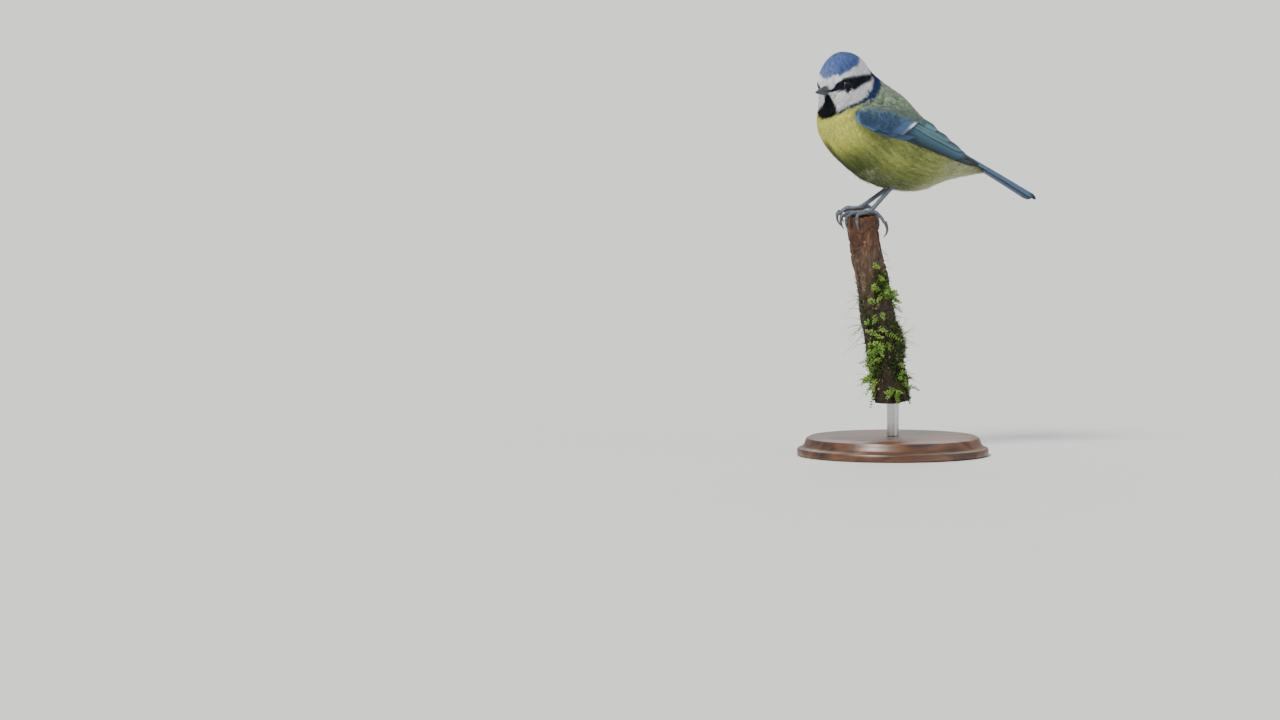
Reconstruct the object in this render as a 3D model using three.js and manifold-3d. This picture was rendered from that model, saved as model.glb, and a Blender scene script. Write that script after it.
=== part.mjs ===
// A blue tit at life size, gripping the broken end of a mossy twig that a plain display stand holds up.
// Units are millimetres. +Z is up, the bird faces -X and its left side is towards -Y.
// The origin is the centre of the stand's underside. The bird and the twig are worked out in a frame
// of their own, whose origin is the centre of the twig's broken end.

import * as THREE from "three";
import { mergeVertices } from "three/addons/utils/BufferGeometryUtils.js";
import Module from "manifold-3d";

const wasm = await Module();
wasm.setup();

// Driving dimensions
const gap = 0.3; // clearance between neighbouring solids
const headTurn = THREE.MathUtils.degToRad(24); // the head looks towards the bird's left
const headPitch = THREE.MathUtils.degToRad(-14); // and the bill points a little down
const headCentre = new THREE.Vector3(-7.4, 0, 56);
const bill = { length: 8.6, depth: 4.2, width: 4.0, root: 8.3, drop: -2.2, rise: 1.2, nostril: 11.8 };
const eye = { radius: 2.3, forward: 6.6, up: -0.3, sunk: 1.75 };
const lidRing = { radius: 2.15, thickness: 0.45, sunk: 0.15 };
const tail = { length: 47.4, rootX: 36.5, rootZ: 29.4, slope: 27.6, droop: 1.4, pairs: 6 };
const rectrix = { width: 4.2, spread: 0.42, roof: 15, step: 0.26 };
const toeRadius = 0.75;
const toeLift = 0.42; // room between a toe's underside and the broken end
const footLift = 0.7; // the same where the toes meet
const shankRadius = 0.84;
const tuftLength = 2.4; // how far the feathered thigh reaches down past the belly's edge
const perch = { radius: 6.5, length: 80, lean: 10 };
const stand = { radius: 40, thickness: 8, rodRadius: 2.5, rodHeight: 14 };
const vaneThickness = 0.5;

const viewTurn = THREE.MathUtils.degToRad(18); // the twig leans in this vertical plane
const sideways = new THREE.Vector3(Math.cos(viewTurn), -Math.sin(viewTurn), 0);
const perchLean = THREE.MathUtils.degToRad(perch.lean);
const perchUp = new THREE.Vector3(0, 0, Math.cos(perchLean)).addScaledVector(sideways, -Math.sin(perchLean));
const perchEnd = {
  point: new THREE.Vector3(0, 0, 0.5),
  normal: new THREE.Vector3(-0.05, -0.25, 1).normalize(),
};
const perchFoot = new THREE.Vector3(0, 0, stand.thickness + stand.rodHeight);
const perchTop = perchFoot.clone().addScaledVector(perchUp, perch.length);

// Solids and geometries
function welded(geometry) {
  const loose = geometry.index ? geometry.toNonIndexed() : geometry;
  const bare = new THREE.BufferGeometry().setAttribute("position", loose.getAttribute("position"));
  return mergeVertices(bare, 1e-4);
}

// A closed geometry as a solid, whichever way round its faces are
function solidOf(geometry) {
  const merged = welded(geometry);
  const vertProperties = merged.getAttribute("position").array;
  const triVerts = new Uint32Array(merged.index.array);
  const solid = new wasm.Manifold(new wasm.Mesh({ numProp: 3, vertProperties, triVerts }));
  if (solid.volume() > 0) return solid;
  triVerts.reverse();
  return new wasm.Manifold(new wasm.Mesh({ numProp: 3, vertProperties, triVerts }));
}

function geometryOf(solid) {
  const mesh = solid.getMesh();
  const geometry = new THREE.BufferGeometry();
  geometry.setAttribute("position", new THREE.BufferAttribute(mesh.vertProperties, 3));
  geometry.setIndex(new THREE.BufferAttribute(mesh.triVerts, 1));
  return geometry;
}

// A solid with its surface moved outwards
function grown(solid, by) {
  const geometry = geometryOf(solid);
  geometry.computeVertexNormals();
  const position = geometry.getAttribute("position");
  const normal = geometry.getAttribute("normal");
  for (let i = 0; i < position.count; i++) {
    const point = new THREE.Vector3().fromBufferAttribute(position, i);
    point.addScaledVector(new THREE.Vector3().fromBufferAttribute(normal, i), by);
    position.setXYZ(i, point.x, point.y, point.z);
  }
  return solidOf(geometry);
}

function joined(solids) {
  return solids.reduce((sum, solid) => sum.add(solid));
}

function largest(solid) {
  return solid.decompose().sort((a, b) => b.volume() - a.volume())[0];
}

// Keeps the side of a plane that its normal points to, half a gap away from it
function beyond(solid, plane, room = gap / 2) {
  return solid.trimByPlane(plane.normal.toArray(), plane.normal.dot(plane.point) + room);
}

function behind(solid, plane, room = gap / 2) {
  return beyond(solid, { point: plane.point, normal: plane.normal.clone().negate() }, room);
}

// A closed surface of rings: place(along, angle) gives a point, and both end rings shrink to one point
function ringed(around, along, place) {
  const geometry = new THREE.SphereGeometry(1, around, along);
  const position = geometry.getAttribute("position");
  const uv = geometry.getAttribute("uv");
  for (let i = 0; i < position.count; i++) {
    const point = place(1 - uv.getY(i), uv.getX(i) * 2 * Math.PI);
    position.setXYZ(i, point.x, point.y, point.z);
  }
  return geometry;
}

// A round bar along a curve with flat ends: radius(t, angle) is its radius
function bar(curve, around, steps, radius) {
  const frames = curve.computeFrenetFrames(steps);
  return ringed(around, steps + 2, (v, angle) => {
    const ring = Math.round(v * (steps + 2));
    const k = THREE.MathUtils.clamp(ring - 1, 0, steps);
    const size = ring === 0 || ring === steps + 2 ? 0 : radius(k / steps, angle);
    return curve
      .getPointAt(k / steps)
      .addScaledVector(frames.normals[k], size * Math.cos(angle))
      .addScaledVector(frames.binormals[k], size * Math.sin(angle));
  });
}

// A thin plate: place(u, v, height) gives a point, u and v run from 0 to 1 and height is 1 on the outer face
// and -1 on the inner one. Both faces are split into the same triangles.
function plate(columns, rows, place) {
  const sheet = new THREE.PlaneGeometry(1, 1, columns, rows);
  const uv = sheet.getAttribute("uv");
  const points = [];
  for (const height of [1, -1]) {
    for (let i = 0; i < uv.count; i++) points.push(...place(uv.getX(i), uv.getY(i), height).toArray());
  }
  const faces = [...sheet.index.array];
  for (let i = 0; i < sheet.index.count; i += 3) {
    const [a, b, c] = sheet.index.array.slice(i, i + 3);
    faces.push(c + uv.count, b + uv.count, a + uv.count);
  }
  const across = columns + 1;
  const rim = [];
  for (let i = 0; i < columns; i++) rim.push(i);
  for (let j = 0; j < rows; j++) rim.push(columns + j * across);
  for (let i = columns; i > 0; i--) rim.push(rows * across + i);
  for (let j = rows; j > 0; j--) rim.push(j * across);
  rim.forEach((from, i) => {
    const to = rim[(i + 1) % rim.length];
    faces.push(from, to, from + uv.count, to, to + uv.count, from + uv.count);
  });
  const geometry = new THREE.BufferGeometry();
  geometry.setAttribute("position", new THREE.Float32BufferAttribute(points, 3));
  geometry.setIndex(faces);
  return geometry;
}

// The body, from the face to the undertail, as sections between a point on the back and one on the belly.
// turn is the share of the head's turn that the section takes part in.
const sections = [
  { name: "tip of face", back: [-18.0, 51.8], belly: [-18.0, 51.8], half: 0, turn: 1 },
  { name: "bill root", back: [-17.7, 54.2], belly: [-16.8, 49.0], half: 3.4, turn: 1 },
  { name: "brow", back: [-16.4, 61.6], belly: [-15.8, 46.4], half: 6.2, turn: 1 },
  { name: "crown", back: [-9.6, 67.3], belly: [-15.9, 44.2], half: 8.7, turn: 0.95 },
  { name: "nape", back: [-0.9, 65.6], belly: [-17.0, 40.8], half: 10.6, turn: 0.75 },
  { name: "collar", back: [4.4, 59.3], belly: [-17.9, 36.4], half: 12.6, turn: 0.4 },
  { name: "mantle", back: [11.0, 53.8], belly: [-15.5, 30.0], half: 14.8, turn: 0.12 },
  { name: "breast", back: [18.0, 49.0], belly: [-8.5, 22.0], half: 16.0, turn: 0 },
  { name: "belly", back: [24.5, 42.3], belly: [1.5, 14.8], half: 16.0, turn: 0 },
  { name: "flank", back: [31.0, 36.2], belly: [13.0, 11.0], half: 14.4, turn: 0 },
  { name: "vent", back: [38.0, 30.4], belly: [25.5, 10.2], half: 11.2, turn: 0 },
  { name: "rump", back: [45.0, 25.0], belly: [36.0, 13.6], half: 7.4, turn: 0 },
  { name: "undertail", back: [50.5, 20.8], belly: [45.0, 15.6], half: 4.4, turn: 0 },
  { name: "end", back: [55.3, 17.1], belly: [55.3, 17.1], half: 0, turn: 0 },
];
const smooth = (points) => new THREE.CatmullRomCurve3(points, false, "catmullrom", 0.5);
const backLine = smooth(sections.map((s) => new THREE.Vector3(s.back[0], 0, s.back[1])));
const bellyLine = smooth(sections.map((s) => new THREE.Vector3(s.belly[0], 0, s.belly[1])));
const sizeLine = smooth(sections.map((s) => new THREE.Vector3(s.half, s.turn, 0)));

function bodyPoint(along, angle) {
  const back = backLine.getPoint(along);
  const belly = bellyLine.getPoint(along);
  const size = sizeLine.getPoint(along);
  const middle = back.clone().add(belly).multiplyScalar(0.5);
  const point = middle.addScaledVector(back.sub(belly), Math.cos(angle) / 2);
  point.y += Math.max(size.x, 0) * Math.sin(angle);
  return point.sub(headCentre).applyAxisAngle(new THREE.Vector3(0, 0, 1), size.y * headTurn).add(headCentre);
}

const body = solidOf(ringed(28, 36, bodyPoint));
const roomForBody = grown(body, gap);
const bodySurface = new THREE.Mesh(geometryOf(body));
bodySurface.material.side = THREE.DoubleSide;

// A point of the head's own frame: forward along the bill, towards the bird's left, and up
function headWay(forward, left, up) {
  const ahead = new THREE.Vector3(-Math.cos(headPitch), 0, Math.sin(headPitch));
  const above = new THREE.Vector3(Math.sin(headPitch), 0, Math.cos(headPitch));
  const way = new THREE.Vector3().addScaledVector(ahead, forward).addScaledVector(above, up);
  way.y -= left;
  return way.applyAxisAngle(new THREE.Vector3(0, 0, 1), headTurn);
}

function headPoint(forward, left, up) {
  return headWay(forward, left, up).add(headCentre);
}

function ball(centre, radius, around = 16) {
  const geometry = new THREE.SphereGeometry(radius, around, Math.ceil(around * 0.6));
  return solidOf(geometry.translate(centre.x, centre.y, centre.z));
}

// Planes that part the body, each with its normal forwards or upwards
function planeAt(x, z, leanDegrees, turn = 0) {
  const lean = THREE.MathUtils.degToRad(leanDegrees);
  const normal = new THREE.Vector3(-Math.cos(lean), 0, Math.sin(lean));
  normal.applyAxisAngle(new THREE.Vector3(0, 0, 1), turn);
  return { point: new THREE.Vector3(x, 0, z), normal };
}
const parting = {
  neck: planeAt(-7.5, 52.8, 47, headTurn * 0.6),
  shoulder: planeAt(-4.5, 46.5, 58, headTurn * 0.2),
  mantle: planeAt(10, 40, 110),
  breast: planeAt(-2, 30, 20),
  rump: planeAt(29, 26, 35),
  tailBed: planeAt(45, 23.6, 118),
};

// Eyes, with a ring of lid round each
function eyeOn(side) {
  const start = headPoint(eye.forward, side * 30, eye.up);
  const inwards = headWay(0, -side, 0).normalize();
  const hit = new THREE.Raycaster(start, inwards).intersectObject(bodySurface)[0];
  const outwards = hit.face.normal.clone();
  if (outwards.dot(inwards) > 0) outwards.negate();
  const centre = hit.point.clone().addScaledVector(outwards, -eye.sunk);
  const lidCentre = hit.point.clone().addScaledVector(outwards, -lidRing.sunk);
  const lid = new THREE.TorusGeometry(lidRing.radius, lidRing.thickness, 6, 14);
  lid.applyQuaternion(new THREE.Quaternion().setFromUnitVectors(new THREE.Vector3(0, 0, 1), outwards));
  lid.translate(lidCentre.x, lidCentre.y, lidCentre.z);
  return {
    ball: ball(centre, eye.radius, 14),
    room: ball(centre, eye.radius + gap, 14),
    lid: solidOf(lid),
  };
}
const eyes = { left: eyeOn(1), right: eyeOn(-1) };

// Bill: one tapering form, parted along the mouth, with a pit for each nostril
function wholeBill() {
  return solidOf(
    ringed(12, 9, (t, angle) => {
      const taper = Math.pow(1 - Math.pow(t, 1.6), 0.75);
      const forward = bill.root + bill.length * t;
      const rise = (Math.cos(angle) > 0 ? 0.56 : 0.44) * bill.depth * taper * Math.cos(angle);
      const size = t === 0 ? 0 : 1;
      const up = bill.drop + bill.rise * t + rise * size;
      return headPoint(forward, 0.5 * bill.width * taper * Math.sin(angle) * size, up);
    }),
  );
}
const mouth = {
  point: headPoint(bill.root, 0, bill.drop - 0.1),
  normal: headWay(-bill.rise / bill.length, 0, 1).normalize(),
};
const nostrils = [1, -1].map((side) => ball(headPoint(bill.nostril, side * 1.3, bill.drop + 1.3), 0.35, 6));
const billSolid = wholeBill().subtract(roomForBody);
const billUpper = nostrils.reduce((solid, pit) => solid.subtract(pit), beyond(billSolid, mouth));
const billLower = behind(billSolid, mouth);

// The surface that a folded wing lies on, as sections like those of the body
const wingSections = [
  { back: [-15, 45], belly: [-15, 45], half: 0 },
  { back: [-5, 53], belly: [-12, 38], half: 12.6 },
  { back: [4, 54], belly: [-7, 31], half: 16.0 },
  { back: [13, 51.5], belly: [-1, 25], half: 17.5 },
  { back: [22, 46.2], belly: [7, 19], half: 17.4 },
  { back: [30, 40.2], belly: [17, 15], half: 15.6 },
  { back: [37, 34.9], belly: [27, 13], half: 12.5 },
  { back: [44, 29.6], belly: [37, 12.5], half: 8.9 },
  { back: [50, 25.2], belly: [45, 12.5], half: 6.4 },
  { back: [56, 21.2], belly: [52, 12], half: 5 },
  { back: [61, 17.4], belly: [59, 11], half: 3.6 },
  { back: [65, 12], belly: [65, 12], half: 0 },
];
const wingBack = smooth(wingSections.map((s) => new THREE.Vector3(s.back[0], 0, s.back[1])));
const wingBelly = smooth(wingSections.map((s) => new THREE.Vector3(s.belly[0], 0, s.belly[1])));
const wingHalf = smooth(wingSections.map((s) => new THREE.Vector3(s.half, 0, 0)));
const wingSurface = new THREE.Mesh(
  ringed(64, 64, (along, angle) => {
    const back = wingBack.getPoint(along);
    const belly = wingBelly.getPoint(along);
    const point = back.clone().add(belly).multiplyScalar(0.5);
    point.addScaledVector(back.sub(belly), Math.cos(angle) / 2);
    point.y += Math.max(wingHalf.getPoint(along).x, 0) * Math.sin(angle);
    return point;
  }),
);
wingSurface.geometry = welded(wingSurface.geometry);
wingSurface.geometry.computeVertexNormals();
wingSurface.material.side = THREE.DoubleSide;

// A point of the left wing from its place in side view and its height over the surface
function onWing(x, z, out) {
  const ray = new THREE.Raycaster(new THREE.Vector3(x, -60, z), new THREE.Vector3(0, 1, 0));
  const hit = ray.intersectObject(wingSurface)[0];
  const normal = hit.normal.clone();
  if (normal.y > 0) normal.negate();
  return hit.point.clone().addScaledVector(normal, out);
}

const sidePoint = ([x, z]) => new THREE.Vector3(x, 0, z);
function sideLine(points) {
  const places = points.map(sidePoint);
  return places.length > 2 ? smooth(places) : new THREE.LineCurve3(...places);
}

// Rows of feathers in side view. Roots and tips run from the uppermost feather to the lowest one, level is
// the height of a vane's middle over the wing, and tilt raises its lower edge over the next vane.
const featherRows = [
  {
    name: "primaries", count: 6, width: 3.4, level: 0.45, tilt: 0.5,
    roots: [[15, 35.4], [8, 34.2]],
    tips: [[47.2, 22.6], [51.2, 21.4], [53.9, 20.2], [49.4, 20.4]],
  },
  {
    name: "secondaries", count: 5, width: 3.4, level: 0.8, tilt: 0.6,
    roots: [[18, 39], [11.5, 34.9]],
    tips: [[46.2, 24.6], [45.2, 23.4], [41.8, 22.8]],
  },
  {
    name: "tertials", count: 3, width: 3.8, level: 1.2, tilt: 0.6,
    roots: [[20.5, 40.6], [17, 38.8]],
    tips: [[31.4, 36], [37.6, 31.1], [43.2, 26.6]],
  },
  {
    name: "primary coverts", count: 3, width: 2.4, level: 0.9, tilt: 0.5,
    roots: [[4, 36.2], [1, 35.4]],
    tips: [[19.4, 32.6], [15.6, 31.6]],
  },
  {
    name: "alula", count: 2, width: 2.2, level: 1.2, tilt: 0.4,
    roots: [[-2, 38.6], [-3, 37.8]],
    tips: [[11.2, 33.6], [8.2, 33.0]],
  },
  {
    name: "greater coverts", count: 6, width: 2.9, level: 1.45, tilt: 0.6,
    roots: [[10, 41.8], [2.5, 37.2]],
    tips: [[20.2, 38.9], [17, 36.8], [13.4, 34.4]],
  },
  {
    name: "median coverts", count: 4, width: 3.4, level: 1.65, tilt: 0.6,
    roots: [[5.5, 42.6], [-2.5, 39]],
    tips: [[13.6, 40.2], [10.2, 38], [6.8, 35.4]],
  },
];

// One feather of a row: its vane narrows to the root and rounds off at the tip
function featherOf(row, i) {
  const share = row.count > 1 ? i / (row.count - 1) : 0;
  const root = sideLine(row.roots).getPoint(share);
  const tip = sideLine(row.tips).getPoint(share);
  const way = tip.clone().sub(root);
  const across = new THREE.Vector3(-way.z, 0, way.x).normalize();
  return solidOf(
    plate(1, 3, (u, v, height) => {
      const along = Math.sin(v * 0.5 * Math.PI);
      const half = 0.5 * row.width * Math.min(0.55 + 1.4 * v, 1) * (v === 1 ? 0.4 : 1);
      const point = root.clone().addScaledVector(way, along).addScaledVector(across, (u - 0.5) * 2 * half);
      const level = row.level - (1 - v) * 0.3 + (0.5 - u) * row.tilt;
      return onWing(point.x, point.z, level + (height * vaneThickness) / 2);
    }),
  );
}

// The small coverts and the bones under them, as one pad from the bend of the wing to the greater coverts
const padTop = sideLine([[-7.3, 42.9], [-3.4, 44], [3, 43.6], [10, 42.6], [17, 42]]);
const padFoot = sideLine([[-7.3, 41.9], [-4.2, 37.6], [2.6, 33.8], [9, 32.6], [16, 34]]);
function wingPad() {
  return solidOf(
    plate(4, 5, (u, v, height) => {
      const point = padTop.getPoint(v).lerp(padFoot.getPoint(v), u);
      const round = Math.sqrt(Math.sin(Math.PI * THREE.MathUtils.clamp(u, 0.04, 0.96)));
      const full = round * Math.sqrt(Math.sin(Math.PI * (0.06 + 0.6 * v)));
      return onWing(point.x, point.z, height > 0 ? 0.1 + 1.5 * full : -3.4);
    }),
  );
}

function wingSolid() {
  const vanes = featherRows.flatMap((row) => Array.from({ length: row.count }, (_, i) => featherOf(row, i)));
  return joined([wingPad(), ...vanes]);
}

// Tail: six pairs of feathers, the middle pair on top, as a shallow roof that droops a little to its tip
const tailSlope = THREE.MathUtils.degToRad(tail.slope);
function tailPoint(along, side, up) {
  const droop = tail.droop * Math.pow(along / tail.length, 2);
  const z = tail.rootZ - along * Math.sin(tailSlope) + (up - droop) * Math.cos(tailSlope);
  return new THREE.Vector3(tail.rootX + along * Math.cos(tailSlope) + up * Math.sin(tailSlope), side, z);
}
function roofDrop(y, v) {
  return Math.tan(THREE.MathUtils.degToRad(rectrix.roof)) * Math.sqrt(y * y + 0.5) * (0.4 + 0.6 * v);
}
function tailFeather(side, i) {
  const share = i / (tail.pairs - 1);
  const length = tail.length - 1.6 * Math.pow(1 - share, 2) - 1.2 * share * share;
  return solidOf(
    plate(1, 4, (u, v, height) => {
      const along = v * length;
      const half = 0.5 * rectrix.width * Math.min(0.5 + 1.2 * v, 1) * (v === 1 ? 0.5 : 1);
      const middle = (0.4 + 0.18 * i) * (1 - v) + (1.2 + rectrix.spread * i) * v;
      const y = side * middle + (u - 0.5) * 2 * half;
      return tailPoint(along, y, -roofDrop(y, v) - rectrix.step * i + (height * vaneThickness) / 2);
    }),
  );
}
function tailSolid() {
  const pairs = Array.from({ length: tail.pairs }, (_, i) => [tailFeather(-1, i), tailFeather(1, i)]);
  return joined(pairs.flat());
}

// The room that the whole fan takes up, with the gap round it
function roomForTail() {
  const stack = rectrix.step * (tail.pairs - 1) + vaneThickness / 2 + gap;
  return solidOf(
    plate(4, 4, (u, v, height) => {
      const last = tail.pairs - 1;
      const middle = (0.4 + 0.18 * last) * (1 - v) + (1.2 + rectrix.spread * last) * v;
      const half = middle + gap + 0.5 * rectrix.width * Math.min(0.5 + 1.2 * v, 1);
      const y = (u - 0.5) * 2 * half;
      const along = v * (tail.length + 2 * gap) - gap;
      return tailPoint(along, y, -roofDrop(y, v) + (height > 0 ? vaneThickness / 2 + gap : -stack));
    }),
  );
}

// Legs. ankle and foot are the ends of the bare shank, and the toes go out from the foot over the twig.
const legs = {
  left: {
    ankle: [13.8, -5.0, 12.9], foot: [3.4, -3.2], thigh: [20, -6.5, 19.5],
    toes: [
      { heading: 172, out: 2.0, claw: [[3.7, 1.9], [3.9, 4.0], [3.1, 5.9]] },
      { heading: 184, out: 2.4, claw: [[4.2, 2.1], [4.4, 4.5], [3.5, 6.6]] },
      { heading: 201, out: 1.8, claw: [[3.4, 1.9], [3.5, 3.9], [2.6, 5.6]] },
      { heading: -14, hind: true, claw: [[4.0, 6.2], [3.3, 8.2], [1.9, 9.6]] },
    ],
  },
  right: {
    ankle: [15.3, 4.6, 11.4], foot: [1.3, 2.8], thigh: [20, 6.5, 19.5],
    toes: [
      { heading: 187, out: 1.7, claw: [[3.2, 1.6], [3.4, 3.6], [2.7, 5.4]] },
      { heading: 175, out: 1.9, claw: [[3.5, 1.7], [3.7, 4.0], [2.9, 6.1]] },
      { heading: 158, out: 1.6, claw: [[3.0, 1.7], [3.1, 3.6], [2.3, 5.2]] },
      { heading: 8, hind: true, claw: [[4.0, 6.2], [3.3, 8.2], [1.9, 9.6]] },
    ],
  },
};

function overTop(x, y, height) {
  const { point, normal } = perchEnd;
  const z = point.z - (normal.x * x + normal.y * y) / normal.z;
  return new THREE.Vector3(x, y, z).addScaledVector(normal, height);
}

// A point beside the twig: round it by an angle, out from its bark and down from its rim
function besideTwig(angle, out, down) {
  const rim = overTop(perch.radius * Math.cos(angle), perch.radius * Math.sin(angle), 0);
  rim.x += out * Math.cos(angle);
  rim.y += out * Math.sin(angle);
  return rim.addScaledVector(perchUp, -down);
}

function toeLines(leg, toe) {
  const heading = THREE.MathUtils.degToRad(toe.heading);
  const [x, y] = leg.foot;
  const [dx, dy] = [Math.cos(heading), Math.sin(heading)];
  const along = x * dx + y * dy;
  const reach = Math.sqrt(along * along - x * x - y * y + perch.radius * perch.radius) - along;
  const angle = Math.atan2(y + reach * dy, x + reach * dx);
  const points = [
    overTop(x, y, toeRadius + footLift),
    overTop(x + dx * reach * 0.5, y + dy * reach * 0.5, toeRadius + toeLift),
    overTop(x + dx * reach, y + dy * reach, toeRadius + toeLift),
  ];
  if (toe.hind) {
    points.push(besideTwig(angle, 2.3, 1.0), besideTwig(angle, 3.4, 3.4));
  } else {
    points.push(besideTwig(angle, toe.out, 0.35));
  }
  const line = smooth(points);
  const start = line.getPoint(1).addScaledVector(line.getTangent(1), gap);
  const nail = smooth([start, ...toe.claw.map(([out, down]) => besideTwig(angle, out, down))]);
  return { line, nail };
}

function toeSolid(line, room) {
  const pads = (t) => 0.94 + 0.1 * Math.cos(t * 6 * Math.PI);
  const taper = (t) => 1 - 0.18 * t;
  return solidOf(bar(line, 7, 8, (t) => room + toeRadius * pads(t) * taper(t)));
}

function clawSolid(nail) {
  return solidOf(bar(nail, 6, 4, (t) => 0.58 * Math.pow(1 - t, 0.8) + 0.06));
}

function footSolid(leg, room) {
  const joint = ball(overTop(...leg.foot, toeRadius + footLift), 1.15 + room, 10);
  return joined([joint, ...leg.toes.map((toe) => toeSolid(toeLines(leg, toe).line, room))]);
}

// A point of the leg between the ankle and the foot, by its distance from the ankle
function legPoint(leg, distance) {
  const ankle = new THREE.Vector3(...leg.ankle);
  const foot = overTop(...leg.foot, toeRadius + footLift);
  return ankle.clone().addScaledVector(foot.sub(ankle).normalize(), distance);
}

function shankSolid(leg) {
  const foot = overTop(...leg.foot, toeRadius + footLift);
  const line = new THREE.LineCurve3(legPoint(leg, tuftLength + 2 * gap), foot);
  const joints = (t) => 0.24 * Math.pow(Math.abs(2 * t - 1), 6);
  const scales = (t) => (Math.round(t * 9) % 2) * 0.04;
  const shank = solidOf(bar(line, 8, 9, (t) => shankRadius + joints(t) + scales(t)));
  return shank.subtract(footSolid(leg, gap));
}

function thighSolid(leg) {
  const line = new THREE.LineCurve3(new THREE.Vector3(...leg.thigh), legPoint(leg, tuftLength));
  return solidOf(bar(line, 12, 6, (t) => 5.2 - 3.9 * t)).subtract(roomForBody);
}

// Twig: bark in uneven ridges that fade out near the broken end
function wave(angle, down, seed) {
  return Math.sin(3 * angle + 0.16 * down + seed) + Math.sin(5 * angle - 0.29 * down + 2 * seed);
}
function perchSolid() {
  const foot = perchUp.clone().multiplyScalar(-perch.length - 4);
  const line = new THREE.LineCurve3(perchUp.clone().multiplyScalar(4), foot);
  const whole = solidOf(
    bar(line, 16, 16, (t, angle) => {
      const down = t * (perch.length + 8) - 4;
      const rough = THREE.MathUtils.smoothstep(down, 4, 24);
      return perch.radius + 0.012 * down + rough * (0.28 * wave(angle, down, 1) - 0.1);
    }),
  );
  const bottom = { point: perchUp.clone().multiplyScalar(-perch.length), normal: new THREE.Vector3(0, 0, 1) };
  return beyond(behind(whole, perchEnd, 0), bottom, 0);
}

// Moss: lumps that hug the bark, with fronds that stand out from them
const mossClumps = [
  { name: "moss_1", angle: -72, down: 30, tall: 7, wide: 5, thick: 2.4, fronds: 9, seed: 11 },
  { name: "moss_2", angle: -25, down: 54, tall: 11.5, wide: 6.5, thick: 3.4, fronds: 14, seed: 23 },
  { name: "moss_3", angle: -150, down: 62, tall: 9, wide: 5, thick: 2.6, fronds: 10, seed: 37 },
];
function seeded(seed) {
  let state = seed;
  return () => {
    state = (state * 16807) % 2147483647;
    return state / 2147483647;
  };
}
function mossSolid(clump, roomForPerch) {
  const chance = seeded(clump.seed * 7919);
  const angle = THREE.MathUtils.degToRad(clump.angle);
  const outwards = new THREE.Vector3(Math.cos(angle), Math.sin(angle), 0);
  const round = new THREE.Vector3(-Math.sin(angle), Math.cos(angle), 0);
  const centre = perchUp.clone().multiplyScalar(-clump.down).addScaledVector(outwards, perch.radius + 0.2);
  const lump = ringed(10, 7, (v, a) => {
    const polar = v * Math.PI;
    const lobes = 0.12 * Math.sin(3 * a + clump.seed) * Math.sin(polar);
    const steps = 0.08 * Math.sin(5 * polar + clump.seed);
    const size = Math.sin(polar) * (1 + lobes + steps);
    return centre
      .clone()
      .addScaledVector(perchUp, clump.tall * Math.cos(polar))
      .addScaledVector(round, clump.wide * size * Math.cos(a))
      .addScaledVector(outwards, clump.thick * size * Math.sin(a));
  });
  const fronds = Array.from({ length: clump.fronds }, () => {
    const up = (chance() * 1.6 - 0.8) * clump.tall;
    const aside = (chance() * 1.5 - 0.75) * clump.wide * Math.sqrt(1 - Math.pow(up / clump.tall, 2));
    const start = centre.clone().addScaledVector(perchUp, up).addScaledVector(round, aside);
    const way = outwards.clone().addScaledVector(round, aside / clump.wide);
    way.addScaledVector(perchUp, chance() * 1.2 - 0.8).normalize();
    const end = start.clone().addScaledVector(way, clump.thick + 1.5 + 2.5 * chance());
    const bend = start.clone().lerp(end, 0.6).addScaledVector(perchUp, 1.2 * chance() - 0.2);
    return solidOf(bar(new THREE.QuadraticBezierCurve3(start, bend, end), 4, 2, (t) => 0.75 - 0.5 * t));
  });
  return joined([solidOf(lump), ...fronds]).subtract(roomForPerch);
}

// Stand: a turned base and one rod
function standBase() {
  const r = stand.radius;
  const h = stand.thickness;
  const profile = [
    [0, 0], [r, 0], [r, 3], [r - 2.2, 4], [r - 3.4, 6.4], [r - 5.2, h], [0, h],
  ];
  const turned = new THREE.LatheGeometry(profile.map(([x, y]) => new THREE.Vector2(x, y)), 40);
  return solidOf(turned.rotateX(Math.PI / 2));
}
function standRod() {
  const rod = new THREE.CylinderGeometry(stand.rodRadius, stand.rodRadius, stand.rodHeight - 2 * gap, 24);
  rod.rotateX(Math.PI / 2).translate(0, 0, stand.thickness + stand.rodHeight / 2);
  return solidOf(rod);
}

// All nodes, each with its solid, colour, roughness and metalness
const coat = { roughness: 0.92, metalness: 0 };
const horn = { roughness: 0.42, metalness: 0 };
const wet = { roughness: 0.08, metalness: 0 };
const scaled = { roughness: 0.55, metalness: 0 };
const nodes = [];
function node(name, solid, color, look, own = false) {
  const shape = geometryOf(largest(solid));
  if (!own) shape.translate(perchTop.x, perchTop.y, perchTop.z);
  const mesh = new THREE.Mesh(shape, new THREE.MeshStandardMaterial({ color, ...look }));
  mesh.name = name;
  nodes.push(mesh);
}

const tailRoom = roomForTail();
const wing = wingSolid();
const fitted = (solid) => solid.subtract(roomForBody).subtract(tailRoom);
const trunk = behind(body, parting.shoulder);
const front = beyond(trunk, parting.rump);
const rear = behind(trunk, parting.rump).subtract(tailRoom);
const under = behind(front, parting.mantle);

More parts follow.
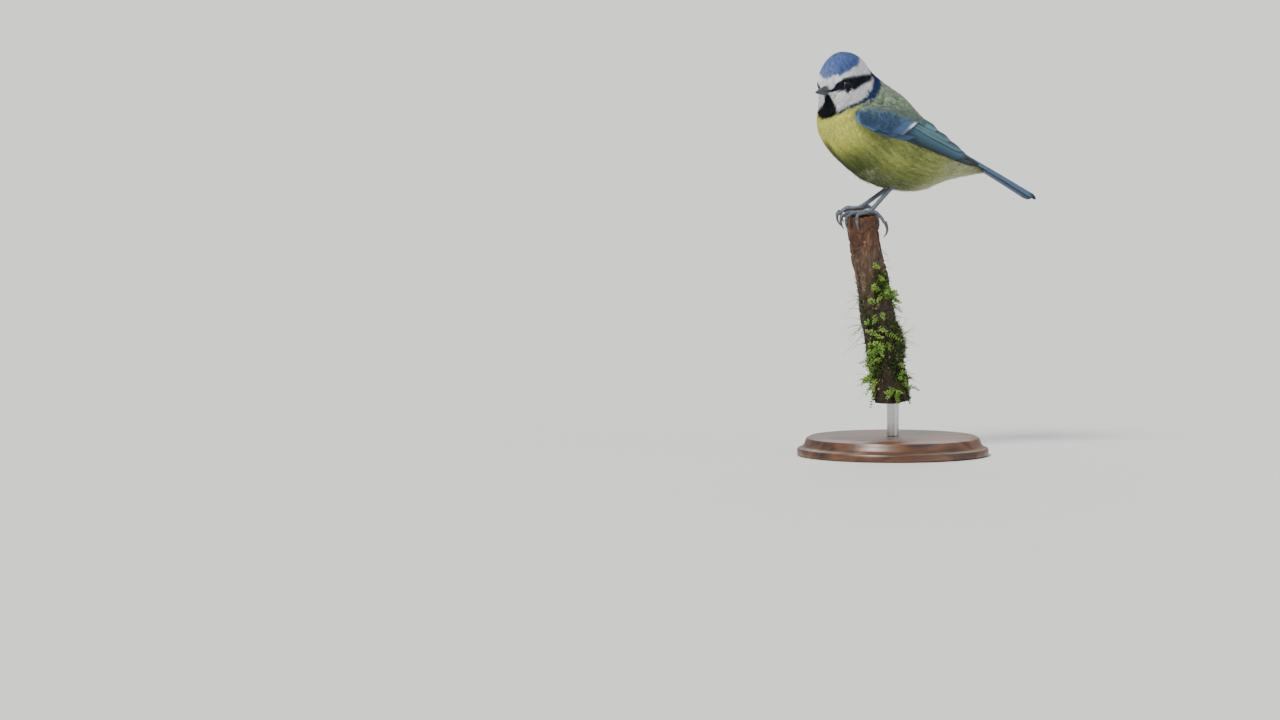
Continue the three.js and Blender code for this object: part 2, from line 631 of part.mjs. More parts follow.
const headSolid = beyond(body, parting.neck).add(eyes.left.lid).add(eyes.right.lid);
node("head", headSolid.subtract(eyes.left.room).subtract(eyes.right.room), 0xc9d3de, coat);
node("neck", beyond(behind(body, parting.neck), parting.shoulder), 0x2b3a5c, coat);
node("breast", beyond(under, parting.breast), 0xd0c63c, coat);
node("belly", behind(under, parting.breast), 0xa9a83f, coat);
node("back", beyond(front, parting.mantle), 0x7f8f6c, coat);
node("rump", beyond(rear, parting.tailBed), 0x7d8f6a, coat);
node("vent", behind(rear, parting.tailBed), 0xc9cc8e, coat);
node("eye_left", eyes.left.ball, 0x0d0b0b, wet);
node("eye_right", eyes.right.ball, 0x0d0b0b, wet);
node("bill_upper", billUpper, 0x3a3b40, horn);
node("bill_lower", billLower, 0x55565c, horn);
node("wing_left", fitted(wing), 0x4c6f9c, coat);
node("wing_right", fitted(wing.mirror([0, 1, 0])), 0x4c6f9c, coat);
node("tail", tailSolid(), 0x4a6c9e, coat);
for (const [side, leg] of Object.entries(legs)) {
  node(`thigh_${side}`, thighSolid(leg), 0xc2c3ac, coat);
  node(`tarsus_${side}`, shankSolid(leg), 0x66707e, scaled);
  node(`foot_${side}`, footSolid(leg, 0), 0x616b79, scaled);
  leg.toes.forEach((toe, i) => {
    node(`claw_${side}_${i + 1}`, clawSolid(toeLines(leg, toe).nail), 0x4d5057, horn);
  });
}
const twig = perchSolid();
node("perch", twig, 0x6b4a38, { roughness: 0.95, metalness: 0 });
const roomForTwig = grown(twig, gap);
for (const clump of mossClumps) {
  node(clump.name, mossSolid(clump, roomForTwig), 0x8fa63a, { roughness: 1, metalness: 0 });
}
node("stand_rod", standRod(), 0x9a9a98, { roughness: 0.3, metalness: 1 }, true);
node("stand_base", standBase(), 0x5b3a24, { roughness: 0.45, metalness: 0 }, true);

const model = new THREE.Group();
model.add(...nodes);
export default model;
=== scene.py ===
# Blue tit on a mossy twig, life size, as a museum would show it on a small turned stand
# Every shape is worked out in millimetres and scaled to metres when its mesh is made
import bpy
import numpy as np
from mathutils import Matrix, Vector
from mathutils.bvhtree import BVHTree


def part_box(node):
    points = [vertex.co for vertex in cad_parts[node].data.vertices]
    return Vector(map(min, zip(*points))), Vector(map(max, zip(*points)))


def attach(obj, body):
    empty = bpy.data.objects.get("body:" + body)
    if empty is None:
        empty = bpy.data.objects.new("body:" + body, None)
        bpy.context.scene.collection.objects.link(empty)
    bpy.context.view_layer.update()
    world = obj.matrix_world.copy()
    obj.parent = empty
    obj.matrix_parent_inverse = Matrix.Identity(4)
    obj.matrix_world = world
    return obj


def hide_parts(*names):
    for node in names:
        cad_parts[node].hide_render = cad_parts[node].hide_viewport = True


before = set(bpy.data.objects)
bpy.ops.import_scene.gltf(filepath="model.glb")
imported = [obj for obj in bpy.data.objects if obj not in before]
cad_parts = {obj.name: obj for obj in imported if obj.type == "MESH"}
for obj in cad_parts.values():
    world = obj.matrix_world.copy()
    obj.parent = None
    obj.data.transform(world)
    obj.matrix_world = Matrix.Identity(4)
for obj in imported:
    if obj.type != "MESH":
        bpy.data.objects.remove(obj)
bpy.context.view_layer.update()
scene = bpy.context.scene
chance = np.random.default_rng(18)
tau = 2 * np.pi


# Small helpers

def smoothstep(low, high, value):
    share = np.clip((value - low) / (high - low), 0, 1)
    return share * share * (3 - 2 * share)


def mix(first, second, share):
    # between two colours, or two rows of them
    return first + (second - first) * np.asarray(share, float)[..., None]


def band(start, full, fading, end, value):
    # rises from start to full, and falls again from fading to end
    return smoothstep(start, full, value) * (1 - smoothstep(fading, end, value))


def paint(red, green, blue):
    # screen colour, 0 to 255, to the linear values that materials use
    value = np.array([red, green, blue]) / 255
    return np.where(value <= 0.04045, value / 12.92, ((value + 0.055) / 1.055) ** 2.4)


def plain(count, colour):
    # the same colour for a number of points
    return np.zeros((count, 3)) + paint(*colour)


def unit(vectors):
    return vectors / np.maximum(np.linalg.norm(vectors, axis=-1, keepdims=True), 1e-9)


def curveThrough(points, share):
    # smooth curve through the points, evenly paced by index
    points = np.asarray(points, float)
    padded = np.vstack([2 * points[0] - points[1], points, 2 * points[-1] - points[-2]])
    place = np.clip(share, 0, 1) * (len(points) - 1)
    index = np.minimum(place.astype(int), len(points) - 2)
    w = (place - index)[..., None]
    p0, p1, p2, p3 = (padded[index + k] for k in range(4))
    m1, m2 = (p2 - p0) / 2, (p3 - p1) / 2
    return p1 + m1 * w + (-3 * p1 + 3 * p2 - 2 * m1 - m2) * w**2 + (2 * p1 - 2 * p2 + m1 + m2) * w**3


def swung(forward, sideways, drift):
    # a step turned by the drift
    c, s = np.cos(drift), np.sin(drift)
    return forward * c - sideways * s, forward * s + sideways * c


def turned(points, degrees, centre):
    x, y, z = np.moveaxis(points - centre, -1, 0)
    return np.stack([*swung(x, y, np.radians(degrees)), z], -1) + centre


def meshOf(name, points, faces, material, colours=None, maps=None, smooth=True):
    # points in millimetres; faces as a list of arrays, each of one face size;
    # maps as {name: a uv for each point}
    mesh = bpy.data.meshes.new(name)
    points = np.asarray(points, np.float32).reshape(-1, 3) / 1000
    faces = [np.asarray(part, np.int32) for part in faces if len(part)]
    mesh.vertices.add(len(points))
    mesh.vertices.foreach_set("co", points.ravel())
    corners = np.concatenate([part.ravel() for part in faces])
    sizes = np.concatenate([np.full(len(part), part.shape[1], np.int32) for part in faces])
    mesh.loops.add(len(corners))
    mesh.loops.foreach_set("vertex_index", corners)
    mesh.polygons.add(len(sizes))
    mesh.polygons.foreach_set("loop_start", (np.cumsum(sizes) - sizes).astype(np.int32))
    mesh.polygons.foreach_set("use_smooth", np.full(len(sizes), smooth))
    if colours is not None:
        layer = mesh.color_attributes.new(name="plumage", type="FLOAT_COLOR", domain="POINT")
        layer.data.foreach_set("color", np.c_[colours, np.ones(len(points))].astype(np.float32).ravel())
    for title, uv in (maps or {}).items():
        layer = mesh.uv_layers.new(name=title)
        layer.data.foreach_set("uv", np.asarray(uv, np.float32)[corners].ravel())
    mesh.update(calc_edges=True)
    mesh.materials.append(material)
    piece = bpy.data.objects.new(name, mesh)
    scene.collection.objects.link(piece)
    return piece


def gridFaces(rows, columns, closed=False):
    row = np.arange(rows - 1)[:, None]
    column = np.arange(columns if closed else columns - 1)
    here = row * columns + column
    aside = row * columns + (column + 1) % columns
    return np.stack([here, aside, aside + columns, here + columns], -1).reshape(-1, 4)


def ringGrid(low, high, rows, columns):
    # rows from low to high, and columns evenly round a full turn
    along = np.linspace(low, high, rows)[:, None] + np.zeros(columns)
    angle = np.arange(columns) / columns * tau + np.zeros((rows, 1))
    return along, angle


def closedRings(rows, columns, flipped=False):
    # faces of a row of rings, with a fan at each end round one more point
    total, here = rows * columns, np.arange(columns)
    beside, lastRing = np.roll(here, -1), total - columns
    fans = np.vstack([np.stack([0 * here + total, beside, here], -1),
                      np.stack([0 * here + total + 1, here + lastRing, beside + lastRing], -1)])
    quads = gridFaces(rows, columns, True)
    return [quads[:, ::-1], fans[:, [0, 2, 1]]] if flipped else [quads, fans]


def plateFaces(rows, columns):
    # faces of a thin plate: a grid of points, its inner side with as many, and a wall round both
    count = rows * columns
    grid, index = gridFaces(rows, columns), np.arange(count).reshape(rows, columns)
    rim = np.concatenate([index[0], index[1:, -1], index[-1, -2::-1], index[-2:0:-1, 0]])
    after = np.roll(rim, -1)
    return np.vstack([grid, grid[:, ::-1] + count, np.stack([rim, rim + count, after + count, after], -1)])


def tube(centres, radii, around, upwards=(0, 0, 1)):
    # closed round body along a line of points
    way = unit(np.gradient(centres, axis=0))
    side = unit(np.cross(way, upwards))
    top = np.cross(side, way)
    angle = np.arange(around) / around * tau
    ring = side[:, None] * np.cos(angle)[None, :, None] + top[:, None] * np.sin(angle)[None, :, None]
    points = (centres[:, None] + ring * radii[:, None, None]).reshape(-1, 3)
    return np.vstack([points, centres[0], centres[-1]]), closedRings(len(centres), around)


def merged(parts):
    # several (points, faces) as one
    points, quads, triangles, count = [], [], [], 0
    for vertices, faces in parts:
        points.append(vertices)
        for part in faces:
            (quads if part.shape[1] == 4 else triangles).append(part + count)
        count += len(vertices)
    return np.vstack(points), [np.vstack(group) for group in (quads, triangles) if group]


def show(piece, slot, *nodes):
    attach(piece, "root")
    if nodes:
        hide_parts(*nodes)
    return piece


# Material helpers

def addNode(tree, kind, **settings):
    node = tree.nodes.new(kind)
    for name, value in settings.items():
        if name in node.inputs:
            node.inputs[name].default_value = value
        else:
            setattr(node, name, value)
    return node


def effectGroup(name, inputs, outputs):
    # node group with named sockets, each as (name, kind, default)
    tree = bpy.data.node_groups.new(name, "ShaderNodeTree")
    for title, kind, value in inputs:
        socket = tree.interface.new_socket(title, in_out="INPUT", socket_type=kind)
        if value is not None:
            socket.default_value = value
    for title, kind in outputs:
        tree.interface.new_socket(title, in_out="OUTPUT", socket_type=kind)
    return tree, tree.nodes.new("NodeGroupInput"), tree.nodes.new("NodeGroupOutput")


def useGroup(tree, group, **values):
    node = tree.nodes.new("ShaderNodeGroup")
    node.node_tree = group
    for title, value in values.items():
        node.inputs[title].default_value = value
    return node


def newMaterial(name, **values):
    material = bpy.data.materials.new(name)
    material.use_nodes = True
    tree = material.node_tree
    shader = tree.nodes["Principled BSDF"]
    for title, value in values.items():
        shader.inputs[title.replace("_", " ")].default_value = value
    return material, tree, shader


def wire(tree, *links):
    # each link is a node, its output, another node and its input
    for start, output, end, entry in links:
        tree.links.new(start.outputs[output], end.inputs[entry])


def rampNode(tree, *stops):
    # colours between stops, each a place and a linear colour
    node = tree.nodes.new("ShaderNodeValToRGB")
    elements = node.color_ramp.elements
    for element, (place, colour) in zip(elements, (stops[0], stops[-1])):
        element.position, element.color = place, (*colour, 1)
    for place, colour in stops[1:-1]:
        elements.new(place).color = (*colour, 1)
    return node


def stretchedNoise(tree, stretch, **values):
    place = addNode(tree, "ShaderNodeTexCoord")
    mapping = addNode(tree, "ShaderNodeMapping", Scale=stretch)
    noise = addNode(tree, "ShaderNodeTexNoise", **values)
    wire(tree, (place, "Object", mapping, "Vector"), (mapping, "Vector", noise, "Vector"))
    return place, noise


# Effects that several materials share

def mottleEffect():
    # uneven brightness and a little change of hue over a colour
    tree, start, end = effectGroup(
        "mottle",
        [("Colour", "NodeSocketColor", (1, 1, 1, 1)), ("Scale", "NodeSocketFloat", 400),
         ("Strength", "NodeSocketFloat", 0.3)],
        [("Colour", "NodeSocketColor")],
    )
    place = addNode(tree, "ShaderNodeTexCoord")
    noise = addNode(tree, "ShaderNodeTexNoise", Detail=5, Roughness=0.6)
    fromZero = addNode(tree, "ShaderNodeMath", operation="SUBTRACT")
    fromZero.inputs[1].default_value = 0.5
    amount = addNode(tree, "ShaderNodeMath", operation="MULTIPLY_ADD")
    amount.inputs[2].default_value = 1.0
    hue = addNode(tree, "ShaderNodeHueSaturation")
    wire(
        tree,
        (place, "Object", noise, "Vector"), (start, "Scale", noise, "Scale"), (noise, "Fac", fromZero, 0),
        (fromZero, 0, amount, 0), (start, "Strength", amount, 1), (amount, 0, hue, "Value"),
        (start, "Colour", hue, "Color"), (hue, "Color", end, "Colour"),
    )
    return tree


def grainEffect():
    # small bumps as a normal
    tree, start, end = effectGroup(
        "grain",
        [("Scale", "NodeSocketFloat", 900), ("Strength", "NodeSocketFloat", 0.3)],
        [("Normal", "NodeSocketVector"), ("Height", "NodeSocketFloat")],
    )
    place = addNode(tree, "ShaderNodeTexCoord")
    noise = addNode(tree, "ShaderNodeTexNoise", Detail=6, Roughness=0.65)
    bump = addNode(tree, "ShaderNodeBump", Distance=0.0004)
    wire(
        tree,
        (place, "Object", noise, "Vector"), (start, "Scale", noise, "Scale"),
        (noise, "Fac", bump, "Height"), (start, "Strength", bump, "Strength"),
        (bump, "Normal", end, "Normal"), (noise, "Fac", end, "Height"),
    )
    return tree


def barbEffect():
    # fine slanting lines of a vane, from a map whose u runs across and whose v runs to the tip
    tree, start, end = effectGroup(
        "barbs",
        [("Map", "NodeSocketVector", None), ("Count", "NodeSocketFloat", 60),
         ("Slant", "NodeSocketFloat", 0.35), ("Strength", "NodeSocketFloat", 0.3)],
        [("Shade", "NodeSocketFloat"), ("Normal", "NodeSocketVector")],
    )
    parts = addNode(tree, "ShaderNodeSeparateXYZ")
    half = addNode(tree, "ShaderNodeMath", operation="SUBTRACT")
    half.inputs[1].default_value = 0.5
    away = addNode(tree, "ShaderNodeMath", operation="ABSOLUTE")
    slope = addNode(tree, "ShaderNodeMath", operation="MULTIPLY")
    along = addNode(tree, "ShaderNodeMath", operation="SUBTRACT")
    place = addNode(tree, "ShaderNodeCombineXYZ")
    noise = addNode(tree, "ShaderNodeTexNoise", noise_dimensions="2D", Scale=1.0, Detail=2)
    stretch = addNode(tree, "ShaderNodeMath", operation="MULTIPLY")
    bump = addNode(tree, "ShaderNodeBump", Distance=0.0002)
    wire(
        tree,
        (start, "Map", parts, 0), (parts, "X", half, 0), (half, 0, away, 0), (away, 0, slope, 0),
        (start, "Slant", slope, 1), (parts, "Y", along, 0), (slope, 0, along, 1), (along, 0, stretch, 0),
        (start, "Count", stretch, 1), (stretch, 0, place, "Y"), (parts, "X", place, "X"),
        (place, 0, noise, "Vector"), (noise, "Fac", bump, "Height"), (start, "Strength", bump, "Strength"),
        (noise, "Fac", end, "Shade"), (bump, "Normal", end, "Normal"),
    )
    return tree


mottle = mottleEffect()
grain = grainEffect()
barbs = barbEffect()


# Plumage materials: the colours are painted on the points, and nodes break them up

def plumageMaterial(name, roughness, scale, strength, specular=0.2):
    material, tree, shader = newMaterial(name, Roughness=roughness, Specular_IOR_Level=specular)
    paintNode = addNode(tree, "ShaderNodeAttribute", attribute_name="plumage")
    uneven = useGroup(tree, mottle, Scale=scale, Strength=strength)
    wire(tree, (paintNode, "Color", uneven, "Colour"), (uneven, "Colour", shader, "Base Color"))
    return material


def vaneMaterial(name, roughness, count, strength):
    material, tree, shader = newMaterial(name, Roughness=roughness, Specular_IOR_Level=0.3)
    paintNode = addNode(tree, "ShaderNodeAttribute", attribute_name="plumage")
    place = addNode(tree, "ShaderNodeUVMap", uv_map="vane")
    lines = useGroup(tree, barbs, Count=count, Slant=0.22, Strength=strength)
    fromNoise = {"From Min": 0.3, "From Max": 0.7, "To Min": 0.8, "To Max": 1.16}
    shade = addNode(tree, "ShaderNodeMapRange", **fromNoise)
    hue = addNode(tree, "ShaderNodeHueSaturation")
    uneven = useGroup(tree, mottle, Scale=700, Strength=0.35)
    wire(
        tree,
        (place, "UV", lines, "Map"), (lines, "Shade", shade, "Value"), (shade, "Result", hue, "Value"),
        (paintNode, "Color", hue, "Color"), (hue, "Color", uneven, "Colour"),
        (uneven, "Colour", shader, "Base Color"), (lines, "Normal", shader, "Normal"),
    )
    return material


coatMaterial = plumageMaterial("softFeathers", 0.8, 900, 0.5)
skinMaterial = plumageMaterial("down", 0.95, 1500, 0.6)
flightMaterial = vaneMaterial("flightFeathers", 0.55, 170, 0.25)
print("materials of the plumage made")


# Body: sections between a point on the back and one on the belly, in the bird's own frame,
# whose origin is the centre of the twig's broken end. The last number is the share of the head's turn.
bodyShape = {
    "sections": [
        (-18.0, 51.8, -18.0, 51.8, 0, 1), (-17.7, 54.2, -16.8, 49.0, 3.4, 1),
        (-16.4, 61.6, -15.8, 46.4, 6.2, 1), (-9.6, 67.3, -15.9, 44.2, 8.7, 0.95),
        (-0.9, 65.6, -17.0, 40.8, 10.6, 0.75), (4.4, 59.3, -17.9, 36.4, 12.6, 0.4),
        (11.0, 53.8, -15.5, 30.0, 14.8, 0.12), (18.0, 49.0, -8.5, 22.0, 16.0, 0),
        (24.5, 42.3, 1.5, 14.8, 16.0, 0), (31.0, 36.2, 13.0, 11.0, 14.4, 0),
        (38.0, 30.4, 25.5, 10.2, 11.2, 0), (45.0, 25.0, 36.0, 13.6, 7.4, 0),
        (50.5, 20.8, 45.0, 15.6, 4.4, 0), (55.3, 17.1, 55.3, 17.1, 0, 0),
    ],
    "headCentre": np.array([-7.4, 0, 56.0]),
    "headTurn": 24,
    "headPitch": -14,
    "coatDepth": 0.9,
    "skinRings": (150, 120),
    # painted shade: how much darker the skin under the coat is painted
    "skinShade": 0.72,
}
lastSection = len(bodyShape["sections"]) - 1
headCentre = bodyShape["headCentre"]


def ovalPoint(section, angle):
    # a section is its back point and belly point in side view, and its half width
    back = np.stack([section[..., 0], 0 * section[..., 0], section[..., 1]], -1)
    belly = np.stack([section[..., 2], 0 * section[..., 0], section[..., 3]], -1)
    point = (back + belly) / 2 + (back - belly) / 2 * np.cos(angle)[..., None]
    point[..., 1] += np.maximum(section[..., 4], 0) * np.sin(angle)
    return point


def bodyPoint(along, angle):
    # along counts the sections, angle is 0 on the back and half a turn on the belly
    section = curveThrough(bodyShape["sections"], np.asarray(along) / lastSection)
    return turned(ovalPoint(section, angle), bodyShape["headTurn"] * section[..., 5], headCentre)


def bodyFrame(along, angle):
    # point, outward normal, backward way and sideways way, with the last two per unit of along and angle
    step = 1e-3
    lengthwise = (bodyPoint(along + step, angle) - bodyPoint(along - step, angle)) / (2 * step)
    around = (bodyPoint(along, angle + step) - bodyPoint(along, angle - step)) / (2 * step)
    normal = unit(np.cross(lengthwise, around))
    return bodyPoint(along, angle), normal, lengthwise, around


def headWay(forward, left, up):
    pitch = np.radians(bodyShape["headPitch"])
    ahead = np.array([-np.cos(pitch), 0, np.sin(pitch)])
    above = np.array([np.sin(pitch), 0, np.cos(pitch)])
    steps = (forward, ahead), (up, above), (left, np.array([0, -1, 0]))
    way = sum(np.multiply.outer(np.asarray(size, float), axis) for size, axis in steps)
    return turned(way, bodyShape["headTurn"], np.zeros(3))


def headPoint(forward, left, up):
    return headWay(forward, left, up) + headCentre


# Where the bird stands in the row's frame
perch = {
    "radius": 6.5, "length": 80, "lean": 10, "leansTo": 18, "endPoint": 0.5, "endNormal": (-0.05, -0.25, 1),
    "cracks": (7, 12, 16, 21, 25, 32, 41, 53, 66),  # distances below the broken end
    "widens": 0.012, "rings": (250, 104), "endRings": 26,
    # factors on the bark's colour, from the broken end down, and on the bare wood's
    "reddish": (1.3, 0.95, 0.78), "greyish": (1.45, 1.42, 1.32), "darkerToFoot": (0.42, 0.46, 0.36),
    "wood": (2.3, 1.45, 0.8),
}
stand = {"radius": 40, "thickness": 8, "around": 160, "rodRadius": 2.5, "rodHeight": 14, "rodGap": 0.3}
leanAngle, leanTo = np.radians(perch["lean"]), np.radians(perch["leansTo"])
perchUp = np.array([
    -np.sin(leanAngle) * np.cos(leanTo), np.sin(leanAngle) * np.sin(leanTo), np.cos(leanAngle)])
perchTop = np.array([0, 0, stand["thickness"] + stand["rodHeight"]]) + perchUp * perch["length"]


# Markings, by section and by angle from the back in degrees: 0 is the back and 180 the belly
markings = {
    "cap": (102, 126, 186), "capDark": (66, 88, 144), "capPale": (150, 168, 196), "white": (250, 250, 254),
    "line": (20, 28, 42), "collar": (35, 58, 104), "bib": (20, 26, 34), "breast": (238, 240, 124),
    "belly": (170, 182, 104), "mottleAndShade": (84, 98, 56), "streak": (196, 200, 134), "stripe": (84, 90, 70),
    "vent": (200, 202, 160), "mantle": (158, 178, 150), "nape": (162, 174, 158), "rump": (134, 152, 116),
}
colours = {name: paint(*value) for name, value in markings.items()}
edges = {
    # section at each angle from the back
    "collarEnd": ((0, 5.35), (27, 5.5), (40, 5.6), (59, 5.63), (74, 5.52), (89, 5.25), (107, 4.9), (130, 4.5),
                  (154, 4.12), (180, 4.0)),
    "collarStart": ((0, 4.55), (30, 4.75), (41, 4.97), (49, 5.12), (65, 5.2), (80, 5.14), (95, 4.93),
                    (117, 4.46), (141, 4.08), (180, 3.9)),
    # angle from the back at each section
    "bib": ((0, 118), (0.5, 138), (1.2, 152), (2.3, 155), (3.1, 151), (4.0, 142), (4.6, 134)),
    "lineTop": ((0, 75), (0.63, 77), (1.28, 76), (2.2, 81), (2.96, 82), (3.91, 69), (4.67, 42), (5, 18)),
    "lineFoot": ((0, 118), (0.33, 112), (1.31, 100), (2.3, 113), (3.34, 111), (4.24, 84), (4.91, 49),
                 (5.1, 32)),
    "cap": ((1.3, -8), (1.5, 30), (2.2, 68), (3.04, 70), (3.6, 52), (3.8, 30), (3.95, -8)),
}


def edgeAt(name, value):
    return np.interp(value, *np.array(edges[name], float).T)


def plumageAt(along, angle):
    degrees = np.degrees(np.abs((angle + np.pi) % tau - np.pi))
    hindward = smoothstep(5.5, 7.5, along)
    side = smoothstep(86 - 26 * hindward, 98 - 24 * hindward, degrees)
    low = band(6.2, 7.6, 9.6, 10.6, along) * side
    patchy = 0.5 + 0.5 * np.sin(2.1 * along + 0.09 * degrees) * np.sin(0.13 * degrees - 1.3 * along + 1)
    streaks = np.sin(0.85 * degrees + 1.7 * np.sin(1.9 * along)) * np.sin(2.6 * along + 0.21 * degrees)
    soft = smoothstep(5.6, 7.2, along) * side
    hindColour = mix(colours["rump"], colours["vent"], smoothstep(50, 74, degrees))
    colour = mix(mix(colours["mantle"], colours["breast"], side), hindColour, smoothstep(8.8, 10.6, along))
    # each layer covers what is painted before it
    layers = (
        ("belly", 0.75 * low),
        ("mottleAndShade", low * (0.1 + 0.5 * patchy)),
        ("mottleAndShade", 0.65 * soft * smoothstep(0.25, 0.8, streaks)),
        ("streak", 0.62 * soft * smoothstep(0.25, 0.8, -streaks)),
        # painted shade on the underside of the belly
        ("mottleAndShade", 0.85 * band(6.0, 7.4, 9.4, 10.4, along) * smoothstep(114, 150, degrees)),
        # painted shadow of the folded wing on the flank below it
        ("mottleAndShade", 0.55 * band(5.4, 6.4, 6.9, 7.9, along) * side * (1 - smoothstep(104, 122, degrees))),
        ("stripe", 0.8 * smoothstep(164, 174, degrees) * band(5.6, 6.2, 8.4, 9, along)),
        ("vent", smoothstep(9.0, 10.4, along) * smoothstep(120, 150, degrees)),
        ("nape", 0.85 * band(5.3, 5.5, 6.0, 6.9, along) * (1 - smoothstep(40, 70, degrees))),
    )
    for name, amount in layers:
        colour = mix(colour, colours[name], amount)

    # collar from nape to bib, with the white cheek in front of it
    for name, edge, blur in (("collar", "collarEnd", 0.04), ("white", "collarStart", 0.03)):
        middle = edgeAt(edge, degrees)
        colour = mix(colour, colours[name], 1 - smoothstep(middle - blur, middle + blur, along))
    bibEdge = edgeAt("bib", along)
    bib = smoothstep(bibEdge - 3, bibEdge + 3, degrees) * (1 - smoothstep(4.05, 4.3, along))
    colour = mix(colour, colours["bib"], bib)

    # line through the eye, then the cap above the white brow
    top, foot = edgeAt("lineTop", along), edgeAt("lineFoot", along)
    eyeLine = band(top - 1, top + 1, foot - 1, foot + 1, degrees) * (1 - smoothstep(4.85, 5.0, along))
    colour = mix(colour, colours["line"], eyeLine * smoothstep(0.1, 0.4, along))
    capEdge = edgeAt("cap", along)
    combed = np.sin(0.9 * degrees + 3 * np.sin(2.3 * along)) * np.sin(5 * along)
    # painted shade darkens the cap towards its sides; the combed streaks are its own pattern
    darker = np.clip(smoothstep(26, 64, degrees) * 0.6 + 0.3 * combed, 0, 1)
    capColour = mix(colours["cap"], colours["capDark"], darker)
    capColour = mix(capColour, colours["capPale"], 0.3 * (1 - smoothstep(1.4, 2.4, along)))
    return mix(colour, capColour, 1 - smoothstep(capEdge - 4, capEdge + 4, degrees))


def skinMesh():
    # one closed skin under the whole coat
    rows, columns = bodyShape["skinRings"]
    along, angle = ringGrid(0.02, lastSection - 0.02, rows, columns)
    point, normal, _, _ = bodyFrame(along, angle)
    depth = bodyShape["coatDepth"] * band(0, 0.8, 11.6, 12.8, along)
    point = (point - normal * depth[..., None]).reshape(-1, 3)
    # the skin takes the markings, painted darker as painted shade under the coat
    colour = plumageAt(along, angle).reshape(-1, 3) * bodyShape["skinShade"]
    ends = bodyPoint(np.array([0.0, lastSection]), np.zeros(2))
    uv = np.stack([angle / tau, along / lastSection], -1).reshape(-1, 2)
    maps = {"skinMap": np.vstack([uv, [0.5, 0], [0.5, 1]])}
    return meshOf("skin", np.vstack([point, ends]) + perchTop, closedRings(rows, columns, True), skinMaterial,
                  np.vstack([colour, colour[0], colour[-1]]), maps)


show(skinMesh(), "coat", "head", "neck", "breast", "belly", "back", "rump", "vent")
print("skin made")


# The eyes sit in the head, and no tuft grows or reaches over them
# half the sum of each eye's two box corners, in millimetres
eyeCentres = {
    side: np.array(sum(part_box(f"eye_{side}"), Vector())) * 500 - perchTop for side in ("left", "right")
}


def clearOfEyes(point, room):
    return np.min([np.linalg.norm(point - centre, axis=-1) for centre in eyeCentres.values()], axis=0) > room


# Coat: each tuft is a fan of barbs that starts under the surface and follows the lie of the feathers
coat = {
    "barbs": 8,
    "spread": 26,  # degrees to either side
    "barbWidth": 0.15,
    "fluff": (206, 206, 176),
    "pale": {"hangingFluff": 0.7},
    "regions": {
        # name: sections it covers, angles from the back, tufts, shortest and longest barb
        "crownFeathers": ((0.25, 4.7), (0, 86), 2400, 1.3, 3.2),
        "cheekFeathers": ((0.25, 5.1), (80, 180), 2400, 1.2, 3.0),
        "breastFeathers": ((4.4, 6.6), (84, 180), 2200, 3.2, 4.6),
        "bellyFeathers": ((6.4, 8.4), (88, 180), 2300, 4.2, 6.4),
        "flankFeathers": ((8.2, 10.4), (84, 180), 2200, 4.6, 7.0),
        "ventFeathers": ((10.2, 12.6), (70, 180), 1200, 4.0, 6.2),
        "mantleFeathers": ((4.6, 8.2), (0, 94), 1900, 3.6, 5.4),
        "rumpFeathers": ((8.0, 12.3), (0, 94), 1150, 4.0, 5.6),
        "hangingFluff": ((7.4, 9.9), (140, 178), 420, 5.5, 8.0),
    },
}


def scatter(alongRange, degreeRange, count):
    # places spread evenly over the skin's area, on both sides
    tries = count * 6
    along = chance.uniform(*alongRange, tries)
    angle = np.radians(chance.uniform(*degreeRange, tries)) * chance.choice([-1, 1], tries)
    _, _, lengthwise, around = bodyFrame(along, angle)
    area = np.linalg.norm(np.cross(lengthwise, around), axis=-1)
    keep = chance.random(tries) < area / area.max()
    return along[keep][:count], angle[keep][:count]


# Barb: rings of three corners at its root and middle, and a point as its tip
barb = {
    "corners": ((-1, 0.0), (1, 0.0), (0, 0.55)),  # aside and up, in half widths
    "faces": ((0, 2, 1), (0, 1, 4), (0, 4, 3), (1, 2, 5), (1, 5, 4), (2, 0, 3), (2, 3, 5), (3, 4, 6),
              (4, 5, 6), (5, 3, 6)),
    "halfWidths": (0.75, 1.0),
    "rootDepth": 0.9, "middleDepth": 0.12,
    # painted shade: each barb is darker at its root, down in the coat, and painted lighter at its tip
    "shades": (0.5, 0.5, 0.5, 0.9, 0.9, 0.95, 1.12),
    "paintedAt": 0.62,  # share of the barb's reach where its colour is taken
    "patch": 0.003,  # size of a tuft's patch on the map
    # spread of chance: place in the fan, reach, curl, height, width, and the tone of a tuft and of a barb
    "place": (-0.14, 0.14), "reach": (0.86, 1.1), "curl": (-0.12, 0.12), "rise": (-0.1, 0.12),
    "widths": (0.8, 1.25), "tuftTone": (0.86, 1.12), "tone": (0.86, 1.14),
    "outerShorter": 0.16,  # how much shorter the fan's outermost barbs are
}


